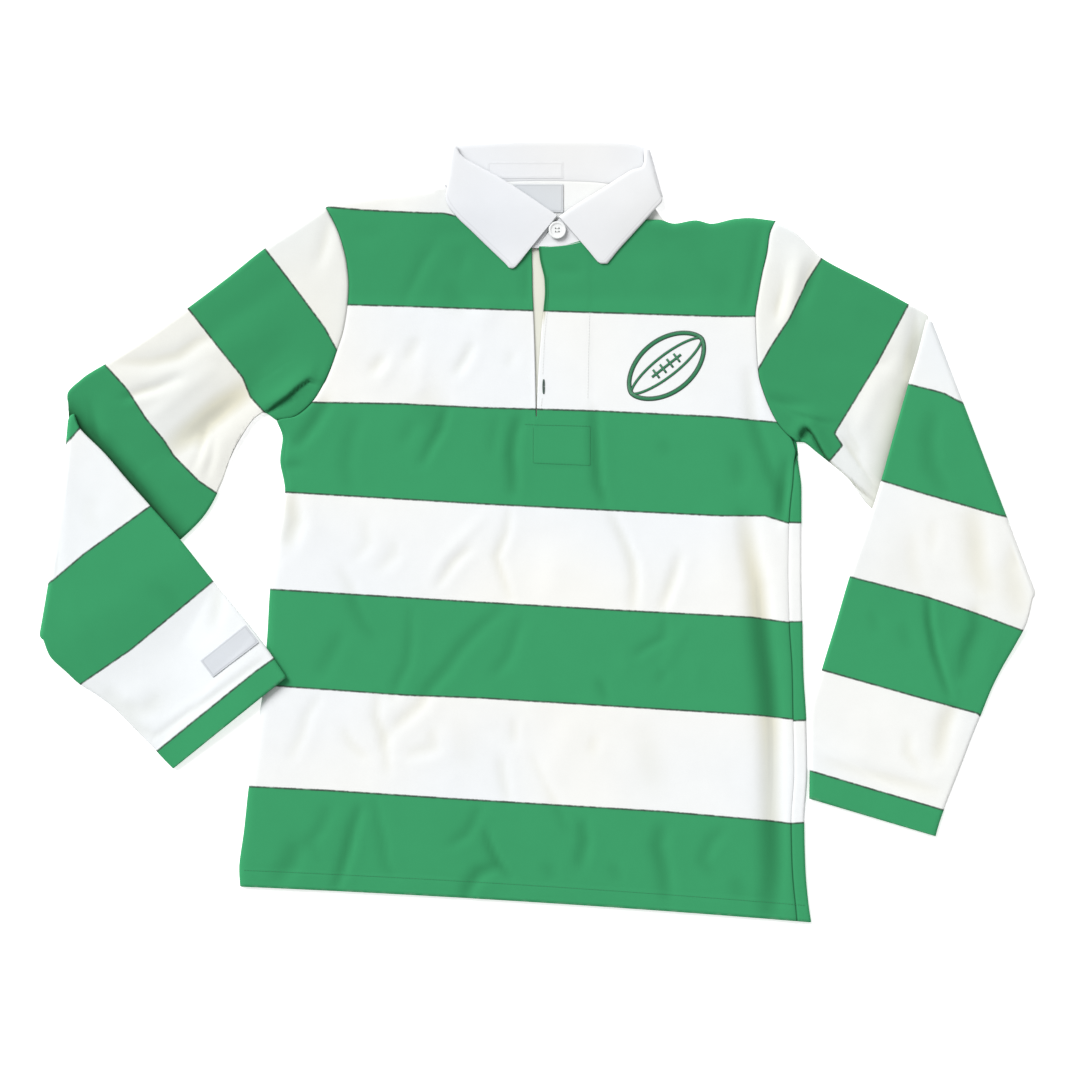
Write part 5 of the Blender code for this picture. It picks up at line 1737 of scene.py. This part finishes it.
@dataclass
class Sewing:
    """Rows of lockstitches that lie on the cloth."""

    thread: bpy.types.Material
    hoops: Hoops
    length: float = 2.3
    pitch: float = 3.1
    radius: float = 0.26
    sink: float = 0.22

    def stitch(self, x: float, y: float, heading: float, surface: Surface) -> tuple:
        """One stitch, round in section and pressed into the cloth at both ends.

        Args:
            x: its middle.
            y: its middle.
            heading: its direction in radians.
            surface: the cloth below it.

        Returns:
            Its points and faces.
        """
        reach = np.array([-0.5, -0.36, 0.0, 0.36, 0.5]) * self.length
        line_x, line_y = x + reach * math.cos(heading), y + reach * math.sin(heading)
        ends = [surface.height(line_x[k], line_y[k]) for k in (0, 4)]
        height = np.interp(reach, [reach[0], reach[-1]], ends)
        high = height + np.array([-self.sink, 0.12, 0.16, 0.12, -self.sink])
        return tube(np.stack([line_x, line_y, high], axis=1), self.radius, 6)

    def run(self, lines: Sequence[Line], surface: Surface, name: str) -> bpy.types.Object:
        """Stitches along lines, as one piece.

        Args:
            lines: the lines to sew.
            surface: the cloth below.
            name: the piece's name.

        Returns:
            The dressed piece.
        """
        stitches = []
        for line in lines:
            points = np.array(line, float)
            steps = np.hypot(*np.diff(points, axis=0).T)
            runs = np.concatenate([[0.0], np.cumsum(steps)])
            for place in np.arange(self.pitch / 2.0, runs[-1] - self.length / 2.0, self.pitch):
                x, y = np.interp(place, runs, points[:, 0]), np.interp(place, runs, points[:, 1])
                ahead = np.interp(place + 0.5, runs, points[:, 0]), np.interp(place + 0.5, runs, points[:, 1])
                heading = math.atan2(ahead[1] - y, ahead[0] - x)
                stitches.append(self.stitch(x, y, heading, surface))
        points, faces = joined(stitches)
        hoop = self.hoops.field(points[:, 0], points[:, 1], -1.0)
        return dress(mesh_object(name, points * MM, faces, values={"hoop": hoop}), self.thread, Slot.JERSEY)


@dataclass
class Emblem:
    """An embroidered generic ball: a pointed oval, its panel seams and a row of laces."""

    # A band's section, as shares of half its width and of its rise.
    ACROSS = (-1.0, -0.97, -0.86, -0.5, 0.0, 0.5, 0.86, 0.97, 1.0, 0.5, 0.0, -0.5)
    HIGH = (-0.3, 0.25, 0.62, 0.92, 1.0, 0.92, 0.62, 0.25, -0.3, -0.4, -0.4, -0.4)

    material: bpy.types.Material
    centre: Point = Point(133.0, 173.0)
    half_length: float = 46.0
    half_width: float = 27.0
    tilt: float = math.radians(38.0)
    band: float = 5.0
    rise: float = 0.75

    def place(self, along: Array, across: Array) -> tuple:
        """A place in the ball's own axes, on the shirt."""
        cos, sin = math.cos(self.tilt), math.sin(self.tilt)
        return self.centre.x + along * cos - across * sin, self.centre.y + along * sin + across * cos

    def oval(self, share: float) -> Array:
        """A closed outline at a share of the ball's width, as (along, across) points."""
        turns = np.linspace(0.0, 2.0 * math.pi, 121)[:-1]
        along = self.half_length * np.cos(turns)
        across = share * self.half_width * np.sign(np.sin(turns)) * np.abs(np.sin(turns)) ** 1.22
        return np.stack([along, across], axis=1)

    def band_mesh(self, line: Array, width: float, closed: bool, surface: Surface) -> tuple:
        """A raised satin band along a line.

        Args:
            line: (along, across) points.
            width: its width.
            closed: True if it ends where it starts.
            surface: the cloth below.

        Returns:
            Its points, faces, UV and how far across each vertex lies.
        """
        if closed:
            tangent = np.roll(line, -1, axis=0) - np.roll(line, 1, axis=0)
        else:
            tangent = np.gradient(line, axis=0)
        tangent /= np.linalg.norm(tangent, axis=1, keepdims=True)
        side = np.stack([-tangent[:, 1], tangent[:, 0]], axis=1)
        offsets = np.array(self.ACROSS) * width / 2.0
        highs = np.array(self.HIGH) * self.rise
        count = len(offsets)
        points, cross = [], []
        under = np.array([surface.height(a, b) for a, b in zip(*self.place(line[:, 0], line[:, 1]))])
        for k, offset in enumerate(offsets):
            at = line + side * offset
            x, y = self.place(at[:, 0], at[:, 1])
            points.append(np.stack([x, y, under + highs[k]], axis=1))
            cross.append(np.full(len(line), abs(offset) / (width / 2.0)))
        points = np.stack(points, axis=1)
        rows = len(line)
        runs = np.concatenate([[0.0], np.cumsum(np.hypot(*np.diff(line, axis=0).T))])
        faces, uv = [], []
        last = rows if closed else rows - 1
        ends = np.append(runs, runs[-1] + (np.hypot(*(line[0] - line[-1])) if closed else 0.0))
        for i in range(last):
            after = (i + 1) % rows
            for k in range(count):
                turned = (k + 1) % count
                faces.append((i * count + k, i * count + turned, after * count + turned, after * count + k))
                low, high = offsets[k], offsets[turned]
                uv.append(((ends[i], low), (ends[i], high), (ends[i + 1], high), (ends[i + 1], low)))
        if not closed:
            for start in (0, (rows - 1) * count):
                for cap in ((0, 1, 2, 3), (0, 3, 4, 11), (11, 4, 5, 10), (10, 5, 8, 9), (5, 6, 7, 8)):
                    faces.append([start + k for k in (cap if start else cap[::-1])])
                    uv.append(((0, 0),) * 4)
        return points.reshape(-1, 3), np.array(faces), np.array(uv), np.stack(cross, axis=1).ravel()

    def build(self, surface: Surface) -> bpy.types.Object:
        """The whole emblem as one piece."""
        outline = self.oval(1.0)
        seams = []
        for side in (-1.0, 1.0):
            turns = np.linspace(math.radians(17), math.radians(163), 40)
            along = self.half_length * np.cos(turns)
            across = side * 0.40 * self.half_width * np.sin(turns) ** 1.22
            seams.append(np.stack([along, across], axis=1))
        laces = [np.array([[place, -5.4], [place, -2.7], [place, 0.0], [place, 2.7], [place, 5.4]])
                 for place in (-13.5, -4.5, 4.5, 13.5)]
        spine = np.stack([np.linspace(-19.0, 19.0, 20), np.zeros(20)], axis=1)
        bands = [self.band_mesh(outline, self.band, True, surface)]
        bands += [self.band_mesh(line, 2.8, False, surface) for line in seams + [spine]]
        bands += [self.band_mesh(line, 2.4, False, surface) for line in laces]
        points, faces = joined([(band[0], band[1]) for band in bands])
        uv = np.concatenate([band[2] for band in bands])
        cross = np.concatenate([band[3] for band in bands])
        piece = mesh_object("chest_emblem", points * MM, faces, uv * MM, {"cross": cross})
        edited(piece, bpy.ops.mesh.normals_make_consistent, inside=False)
        return dress(piece, self.material, Slot.JERSEY)


# ---- finishes ----

Colour = tuple
Socket = bpy.types.NodeSocket
Outputs = bpy.types.bpy_prop_collection


def linear(*srgb: float) -> Colour:
    """A colour given in 0-255 screen values, as Blender's linear one."""
    values = [c / 255.0 for c in srgb]
    return tuple(c / 12.92 if c <= 0.04045 else ((c + 0.055) / 1.055) ** 2.4 for c in values) + (1.0,)


class Graph:
    """Short ways to build a node tree."""

    def __init__(self, tree: bpy.types.NodeTree) -> None:
        """Keeps the tree."""
        self.tree = tree

    def node(self, kind: str, inputs: Optional[dict] = None, **settings: object) -> bpy.types.Node:
        """A node with its settings, and its inputs as sockets or plain values.

        Args:
            kind: the node's type.
            inputs: what each named or numbered input gets.
            settings: the node's own properties.

        Returns:
            The node.
        """
        made = self.tree.nodes.new(kind)
        for key, value in settings.items():
            setattr(made, key, value)
        self.feed(made, inputs or {})
        return made

    def feed(self, node: bpy.types.Node, inputs: dict) -> None:
        """Gives a node's named or numbered inputs their sockets or plain values."""
        for key, value in inputs.items():
            if isinstance(value, Socket):
                self.tree.links.new(value, node.inputs[key])
            else:
                node.inputs[key].default_value = value

    def shared(self, effect: bpy.types.NodeTree, inputs: dict) -> Outputs:
        """The outputs of a shared node group."""
        return self.node("ShaderNodeGroup", inputs, node_tree=effect).outputs

    def math(self, operation: str, *values: object) -> Socket:
        """The result of a Math node."""
        return self.node("ShaderNodeMath", dict(enumerate(values)), operation=operation).outputs[0]

    def plus(self, first: object, second: object) -> Socket:
        """A sum."""
        return self.math("ADD", first, second)

    def minus(self, first: object, second: object) -> Socket:
        """A difference."""
        return self.math("SUBTRACT", first, second)

    def times(self, first: object, second: object) -> Socket:
        """A product."""
        return self.math("MULTIPLY", first, second)

    def step(self, value: Socket, low: float, high: float, to_low: float = 0.0,
             to_high: float = 1.0) -> Socket:
        """A soft step between two values."""
        inputs = {"Value": value, "From Min": low, "From Max": high, "To Min": to_low, "To Max": to_high}
        return self.node("ShaderNodeMapRange", inputs, interpolation_type="SMOOTHSTEP").outputs["Result"]

    def mix(self, share: object, first: object, second: object, blend: str = "MIX") -> Socket:
        """A mixture of two colours."""
        inputs = {0: share, 6: first, 7: second}
        return self.node("ShaderNodeMix", inputs, data_type="RGBA", blend_type=blend).outputs[2]

    def noise(self, vector: Socket, scale: float, detail: float = 2.0) -> Socket:
        """Noise from 0 to 1."""
        inputs = {"Vector": vector, "Scale": scale, "Detail": detail, "Roughness": 0.55}
        return self.node("ShaderNodeTexNoise", inputs).outputs["Fac"]

    def attribute(self, name: str) -> Socket:
        """A number kept on the mesh."""
        return self.node("ShaderNodeAttribute", attribute_name=name).outputs["Fac"]


class MaterialGraph(Graph):
    """A material in the making."""

    def __init__(self, name: str) -> None:
        """Starts the material."""
        self.material = bpy.data.materials.new(name)
        self.material.use_nodes = True
        super().__init__(self.material.node_tree)

    def cloth(self) -> Socket:
        """The cloth's own coordinates."""
        return self.node("ShaderNodeUVMap", uv_map="cloth").outputs["UV"]

    def bump(self, height: Socket, strength: float, distance: float) -> Socket:
        """The normal of a surface with this relief."""
        inputs = {"Height": height, "Strength": strength, "Distance": distance}
        return self.node("ShaderNodeBump", inputs).outputs["Normal"]

    def finished(self, inputs: dict) -> bpy.types.Material:
        """The material, once its shader has these inputs."""
        self.feed(self.tree.nodes["Principled BSDF"], inputs)
        return self.material


class Group(Graph):
    """A node group in the making."""

    def __init__(self, name: str) -> None:
        """Opens the group."""
        super().__init__(bpy.data.node_groups.new(name, "ShaderNodeTree"))
        self.entry = self.tree.nodes.new("NodeGroupInput")
        self.exit = self.tree.nodes.new("NodeGroupOutput")

    def takes(self, name: str, kind: str, default: object = None) -> Socket:
        """A new input and the socket that it is read from."""
        made = self.tree.interface.new_socket(name, in_out="INPUT", socket_type=kind)
        if default is not None:
            made.default_value = default
        return self.entry.outputs[name]

    def gives(self, name: str, kind: str, source: Socket) -> None:
        """A new output."""
        self.tree.interface.new_socket(name, in_out="OUTPUT", socket_type=kind)
        self.tree.links.new(source, self.exit.inputs[name])


NUMBER, VECTOR, COLOUR = "NodeSocketFloat", "NodeSocketVector", "NodeSocketColor"


def knit_group() -> bpy.types.NodeTree:
    """Columns of V-shaped knit loops, as a height from 0 to 1."""
    group = Group("knit loops")
    place = group.takes("Cloth", VECTOR)
    wale, course = group.takes("Wale", NUMBER, 1.15), group.takes("Course", NUMBER, 0.85)
    split = group.node("ShaderNodeSeparateXYZ", {0: place})
    u = group.math("DIVIDE", group.times(split.outputs[0], PER_METRE), wale)
    v = group.math("DIVIDE", group.times(split.outputs[1], PER_METRE), course)
    beside = group.times(group.math("ABSOLUTE", group.minus(group.math("FRACT", u), 0.5)), 2.0)
    phase = group.times(group.plus(v, group.times(beside, 0.7)), 2.0 * math.pi)
    leg = group.plus(group.times(group.math("COSINE", phase), 0.5), 0.5)
    column = group.minus(1.0, group.times(group.math("POWER", beside, 3.0), 0.75))
    group.gives("Height", NUMBER, group.times(leg, column))
    return group.tree


def twill_group() -> bpy.types.NodeTree:
    """Fine slanting ribs, as a height from 0 to 1."""
    group = Group("twill ribs")
    place = group.takes("Cloth", VECTOR)
    pitch, steep = group.takes("Pitch", NUMBER, 0.9), group.takes("Steep", NUMBER, 0.6)
    split = group.node("ShaderNodeSeparateXYZ", {0: place})
    slope = group.plus(group.times(split.outputs[0], steep), split.outputs[1])
    run = group.math("DIVIDE", group.times(slope, PER_METRE), pitch)
    wave = group.math("SINE", group.times(run, 2.0 * math.pi))
    group.gives("Height", NUMBER, group.plus(group.times(wave, 0.5), 0.5))
    return group.tree


def hoops_group() -> bpy.types.NodeTree:
    """Ground and hoop colours with the darker line where the yarn changes, and the hoop's mask."""
    group = Group("yarn change")
    away, cloth = group.takes("Distance", NUMBER), group.takes("Cloth", VECTOR)
    ground, hoop, line = (group.takes(name, COLOUR) for name in ("Ground", "Hoop", "Line"))
    width, strength = group.takes("Width", NUMBER, 1.08), group.takes("Strength", NUMBER, 0.9)
    waver = group.times(group.minus(group.noise(cloth, 420.0), 0.5), 0.7)
    edge = group.plus(away, waver)
    green = group.step(edge, -0.3, 0.3)
    near = group.math("ABSOLUTE", group.minus(edge, 0.3))
    share = group.math("DIVIDE", near, width)
    patchy = group.step(group.noise(cloth, 160.0), 0.3, 0.62, 0.55, 1.0)
    mark = group.times(group.times(group.step(share, 0.55, 1.35, 1.0, 0.0), strength), patchy)
    group.gives("Colour", COLOUR, group.mix(mark, group.mix(green, ground, hoop), line))
    group.gives("Green", NUMBER, green)
    return group.tree


def unevenness_group() -> bpy.types.NodeTree:
    """Soft patches and fibres, as a shade about 1, a warm mask and a fibre height."""
    group = Group("cloth unevenness")
    place, lint = group.takes("Place", VECTOR), group.takes("Lint", NUMBER, 0.05)
    broad = group.noise(place, 7.0)
    patch = group.noise(place, 38.0, 3.0)
    fibre = group.noise(place, 1400.0, 3.0)
    shade = group.plus(group.times(group.minus(broad, 0.5), 0.07), 1.0)
    shade = group.plus(shade, group.times(group.minus(patch, 0.5), 0.05))
    spread_fibre = group.times(group.minus(fibre, 0.5), group.times(lint, 2.0))
    group.gives("Shade", NUMBER, group.plus(shade, spread_fibre))
    group.gives("Warm", NUMBER, group.step(group.noise(place, 3.4, 1.0), 0.38, 0.66))
    group.gives("Fibre", NUMBER, fibre)
    return group.tree


def sewn_group() -> bpy.types.NodeTree:
    """Painted shade in the groove along a sewn line, and how an edge is worn lighter."""
    group = Group("sewn and worn")
    seam, width, shade = (group.takes(name, NUMBER) for name in ("Seam", "Width", "Shade"))
    edge, place = group.takes("Edge", NUMBER), group.takes("Place", VECTOR)
    share = group.math("DIVIDE", group.math("ABSOLUTE", seam), width)
    near = group.step(share, 0.3, 1.6, 1.0, 0.0)
    lost = group.times(near, group.minus(1.0, shade))
    group.gives("Shade", NUMBER, group.minus(1.0, lost))
    rubbed = group.step(group.noise(place, 130.0, 4.0), 0.42, 0.68)
    group.gives("Worn", NUMBER, group.times(rubbed, group.step(edge, 0.4, 2.6, 1.0, 0.0)))
    return group.tree


def shadow_group() -> bpy.types.NodeTree:
    """Painted shade deep in a fold, close beside another layer and where ambient occlusion finds the cloth
    closed in: the colour that it is multiplied by.
    """
    group = Group("folds and contact")
    depth, deep = group.takes("Depth", NUMBER), group.takes("Deep", COLOUR)
    darkest = group.takes("Darkest", COLOUR)
    # painted shade from ambient occlusion, baked into the colour
    open_sky = group.node("ShaderNodeAmbientOcclusion", {"Distance": 0.012}, samples=6).outputs["AO"]
    folded = group.mix(depth, (1.0, 1.0, 1.0, 1.0), deep)
    folded = group.mix(group.minus(depth, 1.0), folded, darkest)
    closed = group.step(open_sky, 0.3, 0.9, 0.78, 1.0)
    group.gives("Tone", COLOUR, group.mix(1.0, folded, closed, "MULTIPLY"))
    return group.tree


@dataclass
class Effects:
    """The node groups that the finishes share."""

    knit: bpy.types.NodeTree = field(default_factory=knit_group)
    twill: bpy.types.NodeTree = field(default_factory=twill_group)
    hoops: bpy.types.NodeTree = field(default_factory=hoops_group)
    unevenness: bpy.types.NodeTree = field(default_factory=unevenness_group)
    sewn: bpy.types.NodeTree = field(default_factory=sewn_group)
    shadow: bpy.types.NodeTree = field(default_factory=shadow_group)


@dataclass(frozen=True)
class ClothFinish:
    """A cloth's colours and surface."""

    name: str
    ground: Colour
    hoop: Colour
    cool: Colour
    warm: Colour
    line: Colour
    knitted: bool
    across: float  # mm
    along: float  # mm
    depth: float
    roughness: float
    lint: float
    # painted shade in the groove along a seam: its width and the tone that it leaves on white and on green
    seam_width: float
    seam_ground: float
    seam_hoop: float
    sheen: float = 0.0
    wear: float = 0.1
    # painted shade colours: deep in a fold on white, cool and warm, and on the hoops, and the darkest one
    # close beside another layer
    deep_cool: Colour = linear(231, 231, 222)
    deep_warm: Colour = linear(234, 230, 212)
    deep_hoop: Colour = linear(203, 213, 207)
    darkest: Colour = linear(140, 142, 138)

    def build(self, effects: Effects) -> bpy.types.Material:
        """The material.

        Args:
            effects: the shared node groups.

        Returns:
            A new material.
        """
        graph = MaterialGraph(self.name)
        place = graph.node("ShaderNodeTexCoord").outputs["Object"]
        cloth = graph.cloth()
        uneven = graph.shared(effects.unevenness, {"Place": place, "Lint": self.lint})
        tint = graph.mix(uneven["Warm"], self.cool, self.warm)
        hoops = graph.shared(effects.hoops, {
            "Distance": graph.attribute("hoop"), "Cloth": cloth, "Hoop": self.hoop, "Line": self.line,
            "Ground": graph.mix(1.0, self.ground, tint, "MULTIPLY"),
        })
        green = hoops["Green"]
        # painted shade in the grooves along seams, darker on the hoops
        seam_tone = graph.plus(self.seam_ground, graph.times(green, self.seam_hoop - self.seam_ground))
        sewn = graph.shared(effects.sewn, {
            "Seam": graph.attribute("seam"), "Width": self.seam_width, "Shade": seam_tone, "Place": place,
            "Edge": graph.attribute("hem"),
        })
        tone = graph.times(uneven["Shade"], sewn["Shade"])
        toned = graph.node("ShaderNodeHueSaturation", {"Value": tone, "Color": hoops["Colour"]})
        worn = graph.times(graph.times(sewn["Worn"], green), self.wear)
        colour = graph.mix(worn, toned.outputs["Color"], self.ground)
        # painted shade in folds, beside other layers and from ambient occlusion, multiplied into the base
        # colour
        deep = graph.mix(green, graph.mix(uneven["Warm"], self.deep_cool, self.deep_warm), self.deep_hoop)
        depth = graph.attribute("shade")
        shadow = graph.shared(effects.shadow, {"Depth": depth, "Deep": deep, "Darkest": self.darkest})
        weave = graph.shared(effects.knit if self.knitted else effects.twill,
                             {"Cloth": cloth, 1: self.across, 2: self.along})
        height = graph.plus(weave["Height"], graph.times(uneven["Fibre"], 0.5))
        return graph.finished({
            "Base Color": graph.mix(1.0, colour, shadow["Tone"], "MULTIPLY"), "Roughness": self.roughness,
            "Normal": graph.bump(height, self.depth, 0.0003), "Specular IOR Level": 0.25,
            "Sheen Weight": self.sheen, "Sheen Roughness": 0.5,
        })


GREEN = linear(55, 153, 100)
CHANGE_LINE = linear(56, 70, 62)
WHITE = linear(243, 244, 244)
COLLAR_WHITE = linear(234, 235, 238)
COOL, WARM = linear(251, 253, 255), linear(255, 254, 250)
JERSEY = ClothFinish(
    "striped jersey", WHITE, GREEN, COOL, WARM, CHANGE_LINE, True, 1.15, 0.85, 0.30, 0.88, 0.04, 0.8, 0.9,
    0.5,
)
SLEEVE_JERSEY = replace(
    JERSEY, name="striped sleeve jersey", cool=linear(250, 253, 255), warm=linear(253, 253, 250),
    darkest=linear(150, 150, 140),
)
COLLAR_CLOTH = ClothFinish(
    "collar twill", COLLAR_WHITE, COLLAR_WHITE, COOL, WARM, CHANGE_LINE, False, 0.9, 0.6, 0.16, 0.8,
    0.03, 0.8, 0.92, 0.92,
)
STRIP_CLOTH = ClothFinish(
    "placket twill", linear(228, 228, 216), GREEN, COOL, WARM, CHANGE_LINE, False, 0.9, 0.6, 0.2, 0.82,
    0.04, 0.9, 0.78, 0.78,
)
LABEL_CLOTH = ClothFinish(
    "woven label", linear(214, 217, 221), GREEN, COOL, WARM, CHANGE_LINE, False, 0.4, 0.2, 0.12, 0.5, 0.02,
    0.6, 0.86, 0.86,
)


@dataclass(frozen=True)
class ThreadFinish:
    """Sewing thread that takes the colour of the hoop below it, a little darker."""

    name: str
    light: Colour
    dark: Colour

    def build(self) -> bpy.types.Material:
        """The material."""
        graph = MaterialGraph(self.name)
        colour = graph.mix(graph.step(graph.attribute("hoop"), -0.4, 0.4), self.light, self.dark)
        return graph.finished({"Base Color": colour, "Roughness": 0.6})


@dataclass(frozen=True)
class SatinFinish:
    """Close satin stitches across a band, darker at its edges."""

    name: str = "satin stitch"
    core: Colour = linear(44, 128, 84)
    edge: Colour = linear(44, 74, 58)
    pitch: float = 0.5

    def build(self, effects: Effects) -> bpy.types.Material:
        """The material."""
        graph = MaterialGraph(self.name)
        cloth = graph.cloth()
        run = graph.node("ShaderNodeSeparateXYZ", {0: cloth}).outputs
        turned = graph.node("ShaderNodeCombineXYZ", {0: run[1], 1: run[0]}).outputs[0]
        ribs = graph.shared(effects.twill, {"Cloth": turned, 1: self.pitch, 2: 0.2})
        ragged = graph.times(graph.minus(graph.noise(cloth, 900.0), 0.5), 0.5)
        cross = graph.step(graph.plus(graph.attribute("cross"), ragged), 0.3, 0.72)
        return graph.finished({
            "Base Color": graph.mix(cross, self.core, self.edge), "Roughness": 0.42,
            "Normal": graph.bump(ribs["Height"], 0.5, 0.0002),
        })


def plain(name: str, colour: Colour, roughness: float) -> bpy.types.Material:
    """A plain finish.

    Args:
        name: the material's name.
        colour: its colour.
        roughness: its roughness.

    Returns:
        The material.
    """
    return MaterialGraph(name).finished({"Base Color": colour, "Roughness": roughness})


@dataclass
class Studio:
    """A pale floor, a camera straight above and soft light."""

    centre: Point = Point(2.1, -7.3)
    frame_width: float = 1119.6
    camera_height: float = 4.0
    fill: float = 0.43
    key_strength: float = 3.25
    floor_glow: float = 0.55
    floor_size: float = 8.0
    floor_drop: float = 0.0002  # a little below the shirt's underside

    def build(self) -> None:
        """Sets the floor, camera, light and world."""
        self.floor()
        self.camera()
        self.lights()
        bpy.context.scene.view_settings.view_transform = "Standard"

    def floor(self) -> None:
        """The floor just below the shirt."""
        bpy.ops.mesh.primitive_plane_add(size=self.floor_size, location=(0.0, 0.0, -self.floor_drop))
        floor = bpy.context.object
        floor.name = "floor"
        bpy.ops.object.transform_apply(location=True, rotation=True, scale=True)
        paper = plain("floor", linear(252, 252, 252), 0.95)
        shader = paper.node_tree.nodes["Principled BSDF"]
        shader.inputs["Emission Color"].default_value = (1.0, 1.0, 1.0, 1.0)
        shader.inputs["Emission Strength"].default_value = self.floor_glow
        floor.data.materials.append(paper)

    def camera(self) -> None:
        """A long lens straight above the shirt."""
        data = bpy.data.cameras.new("camera")
        data.sensor_width = 36.0
        data.lens = 36.0 * self.camera_height / (self.frame_width * MM)
        camera = bpy.data.objects.new("camera", data)
        camera.location = (self.centre.x * MM, self.centre.y * MM, self.camera_height)
        bpy.context.scene.collection.objects.link(camera)
        bpy.context.scene.camera = camera

    def lights(self) -> None:
        """Even light all round, a little stronger from the top left."""
        world = bpy.data.worlds.new("studio")
        world.use_nodes = True
        background = world.node_tree.nodes["Background"]
        background.inputs["Color"].default_value = (1.0, 1.0, 1.0, 1.0)
        background.inputs["Strength"].default_value = self.fill
        bpy.context.scene.world = world
        data = bpy.data.lights.new("key", "SUN")
        data.angle = math.radians(34.0)
        data.energy = self.key_strength
        key = bpy.data.objects.new("key", data)
        key.location = (-1.5, 1.7, 1.9)
        key.rotation_euler = (-Vector(key.location)).to_track_quat("-Z", "Y").to_euler()
        bpy.context.scene.collection.objects.link(key)


def sew(form: BodyForm, thread: bpy.types.Material, front: bpy.types.Object,
        back: bpy.types.Object) -> list:
    """The hem's and the placket's rows of stitches.

    Args:
        form: the body's form.
        thread: the thread's finish.
        front: the shirt's front.
        back: the shirt's back.

    Returns:
        The rows as pieces.
    """
    surface = Surface([front, back])
    sewing = Sewing(thread, Hoops(FRONT_HOOPS))
    x = np.linspace(-305.0, 278.0, 120)
    hem = np.stack([x, form.hem(x[None, :])[0] + HEM_DEPTH], axis=1)
    box = [(-14.0, 112.6), *PLACKET_BOX, PLACKET_BOX[0]]
    return [
        sewing.run([hem], surface, "hem_stitches"),
        sewing.run([*PLACKET_ROWS, box], surface, "placket_stitches"),
    ]


def buttonhole(thread: bpy.types.Material, front: bpy.types.Object) -> bpy.types.Object:
    """A worked buttonhole beside the slit: close stitches round a narrow loop.

    Args:
        thread: the thread's finish.
        front: the cloth that it is cut in.

    Returns:
        The dressed piece.
    """
    surface = Surface([front])
    turns = np.linspace(0.0, 2.0 * math.pi, 73)
    x = BUTTONHOLE.x + 0.75 * np.cos(turns)
    y = BUTTONHOLE.y + 7.2 * np.sin(turns)
    high = surface.height(BUTTONHOLE.x, BUTTONHOLE.y) + 0.18
    ring = tube(np.stack([x, y, 0 * x + high], axis=1), 0.62, 8)
    return dress(mesh_object("buttonhole", ring[0] * MM, ring[1]), thread, Slot.JERSEY)


def main() -> None:
    logging.basicConfig(level=logging.INFO, format="%(name)s %(message)s")
    form = BodyForm()
    effects = Effects()
    jersey, twill = JERSEY.build(effects), COLLAR_CLOTH.build(effects)
    sleeve_jersey = SLEEVE_JERSEY.build(effects)
    strip, label = STRIP_CLOTH.build(effects), LABEL_CLOTH.build(effects)
    thread = ThreadFinish("sewing thread", linear(226, 227, 226), linear(46, 128, 84)).build()
    body = Body(form, jersey, strip)
    front = body.build_front()
    back = body.build_back()
    underlap = body.build_underlap()
    right = Sleeve(
        Side.RIGHT, form, sleeve_jersey, RIGHT_UPPER, RIGHT_ELBOW, RIGHT_FOREARM,
        (RIGHT_SLEEVE_CREASES, RIGHT_SLEEVE_FURROWS), (RIGHT_FOREARM_CREASES, RIGHT_FOREARM_FURROWS),
        Hoops(RIGHT_SLEEVE_HOOPS), Hoops(RIGHT_FOREARM_HOOPS, starts_green=True),
        RIGHT_SLEEVE_TUCKS,
    ).build("sleeve_right_cloth", "sleeve_right")
    left = Sleeve(
        Side.LEFT, form, sleeve_jersey, LEFT_UPPER, LEFT_ELBOW, LEFT_FOREARM,
        (LEFT_SLEEVE_CREASES, LEFT_SLEEVE_FURROWS), (LEFT_FOREARM_CREASES, LEFT_FOREARM_FURROWS),
        Hoops(LEFT_SLEEVE_HOOPS), Hoops(LEFT_FOREARM_HOOPS), LEFT_SLEEVE_TUCKS,
        (3.0, 8.0), 0.95, 22.0,
    ).build("sleeve_left_cloth", "sleeve_left")
    collar = Collar(twill).build()
    pearl = plain("button", linear(240, 242, 242), 0.35)
    button = NeckButton(pearl, plain("thread", linear(226, 228, 226), 0.7))
    button.build()
    button.build_thread()
    binding, size_label, cuff_label = Labels(label, twill).build(right)
    rows = sew(form, thread, front, back)
    rows.append(buttonhole(plain("dark thread", linear(78, 96, 88), 0.6), front))
    emblem = Emblem(SatinFinish().build(effects)).build(Surface([front]))
    Studio().build()


if __name__ == "__main__":
    main()
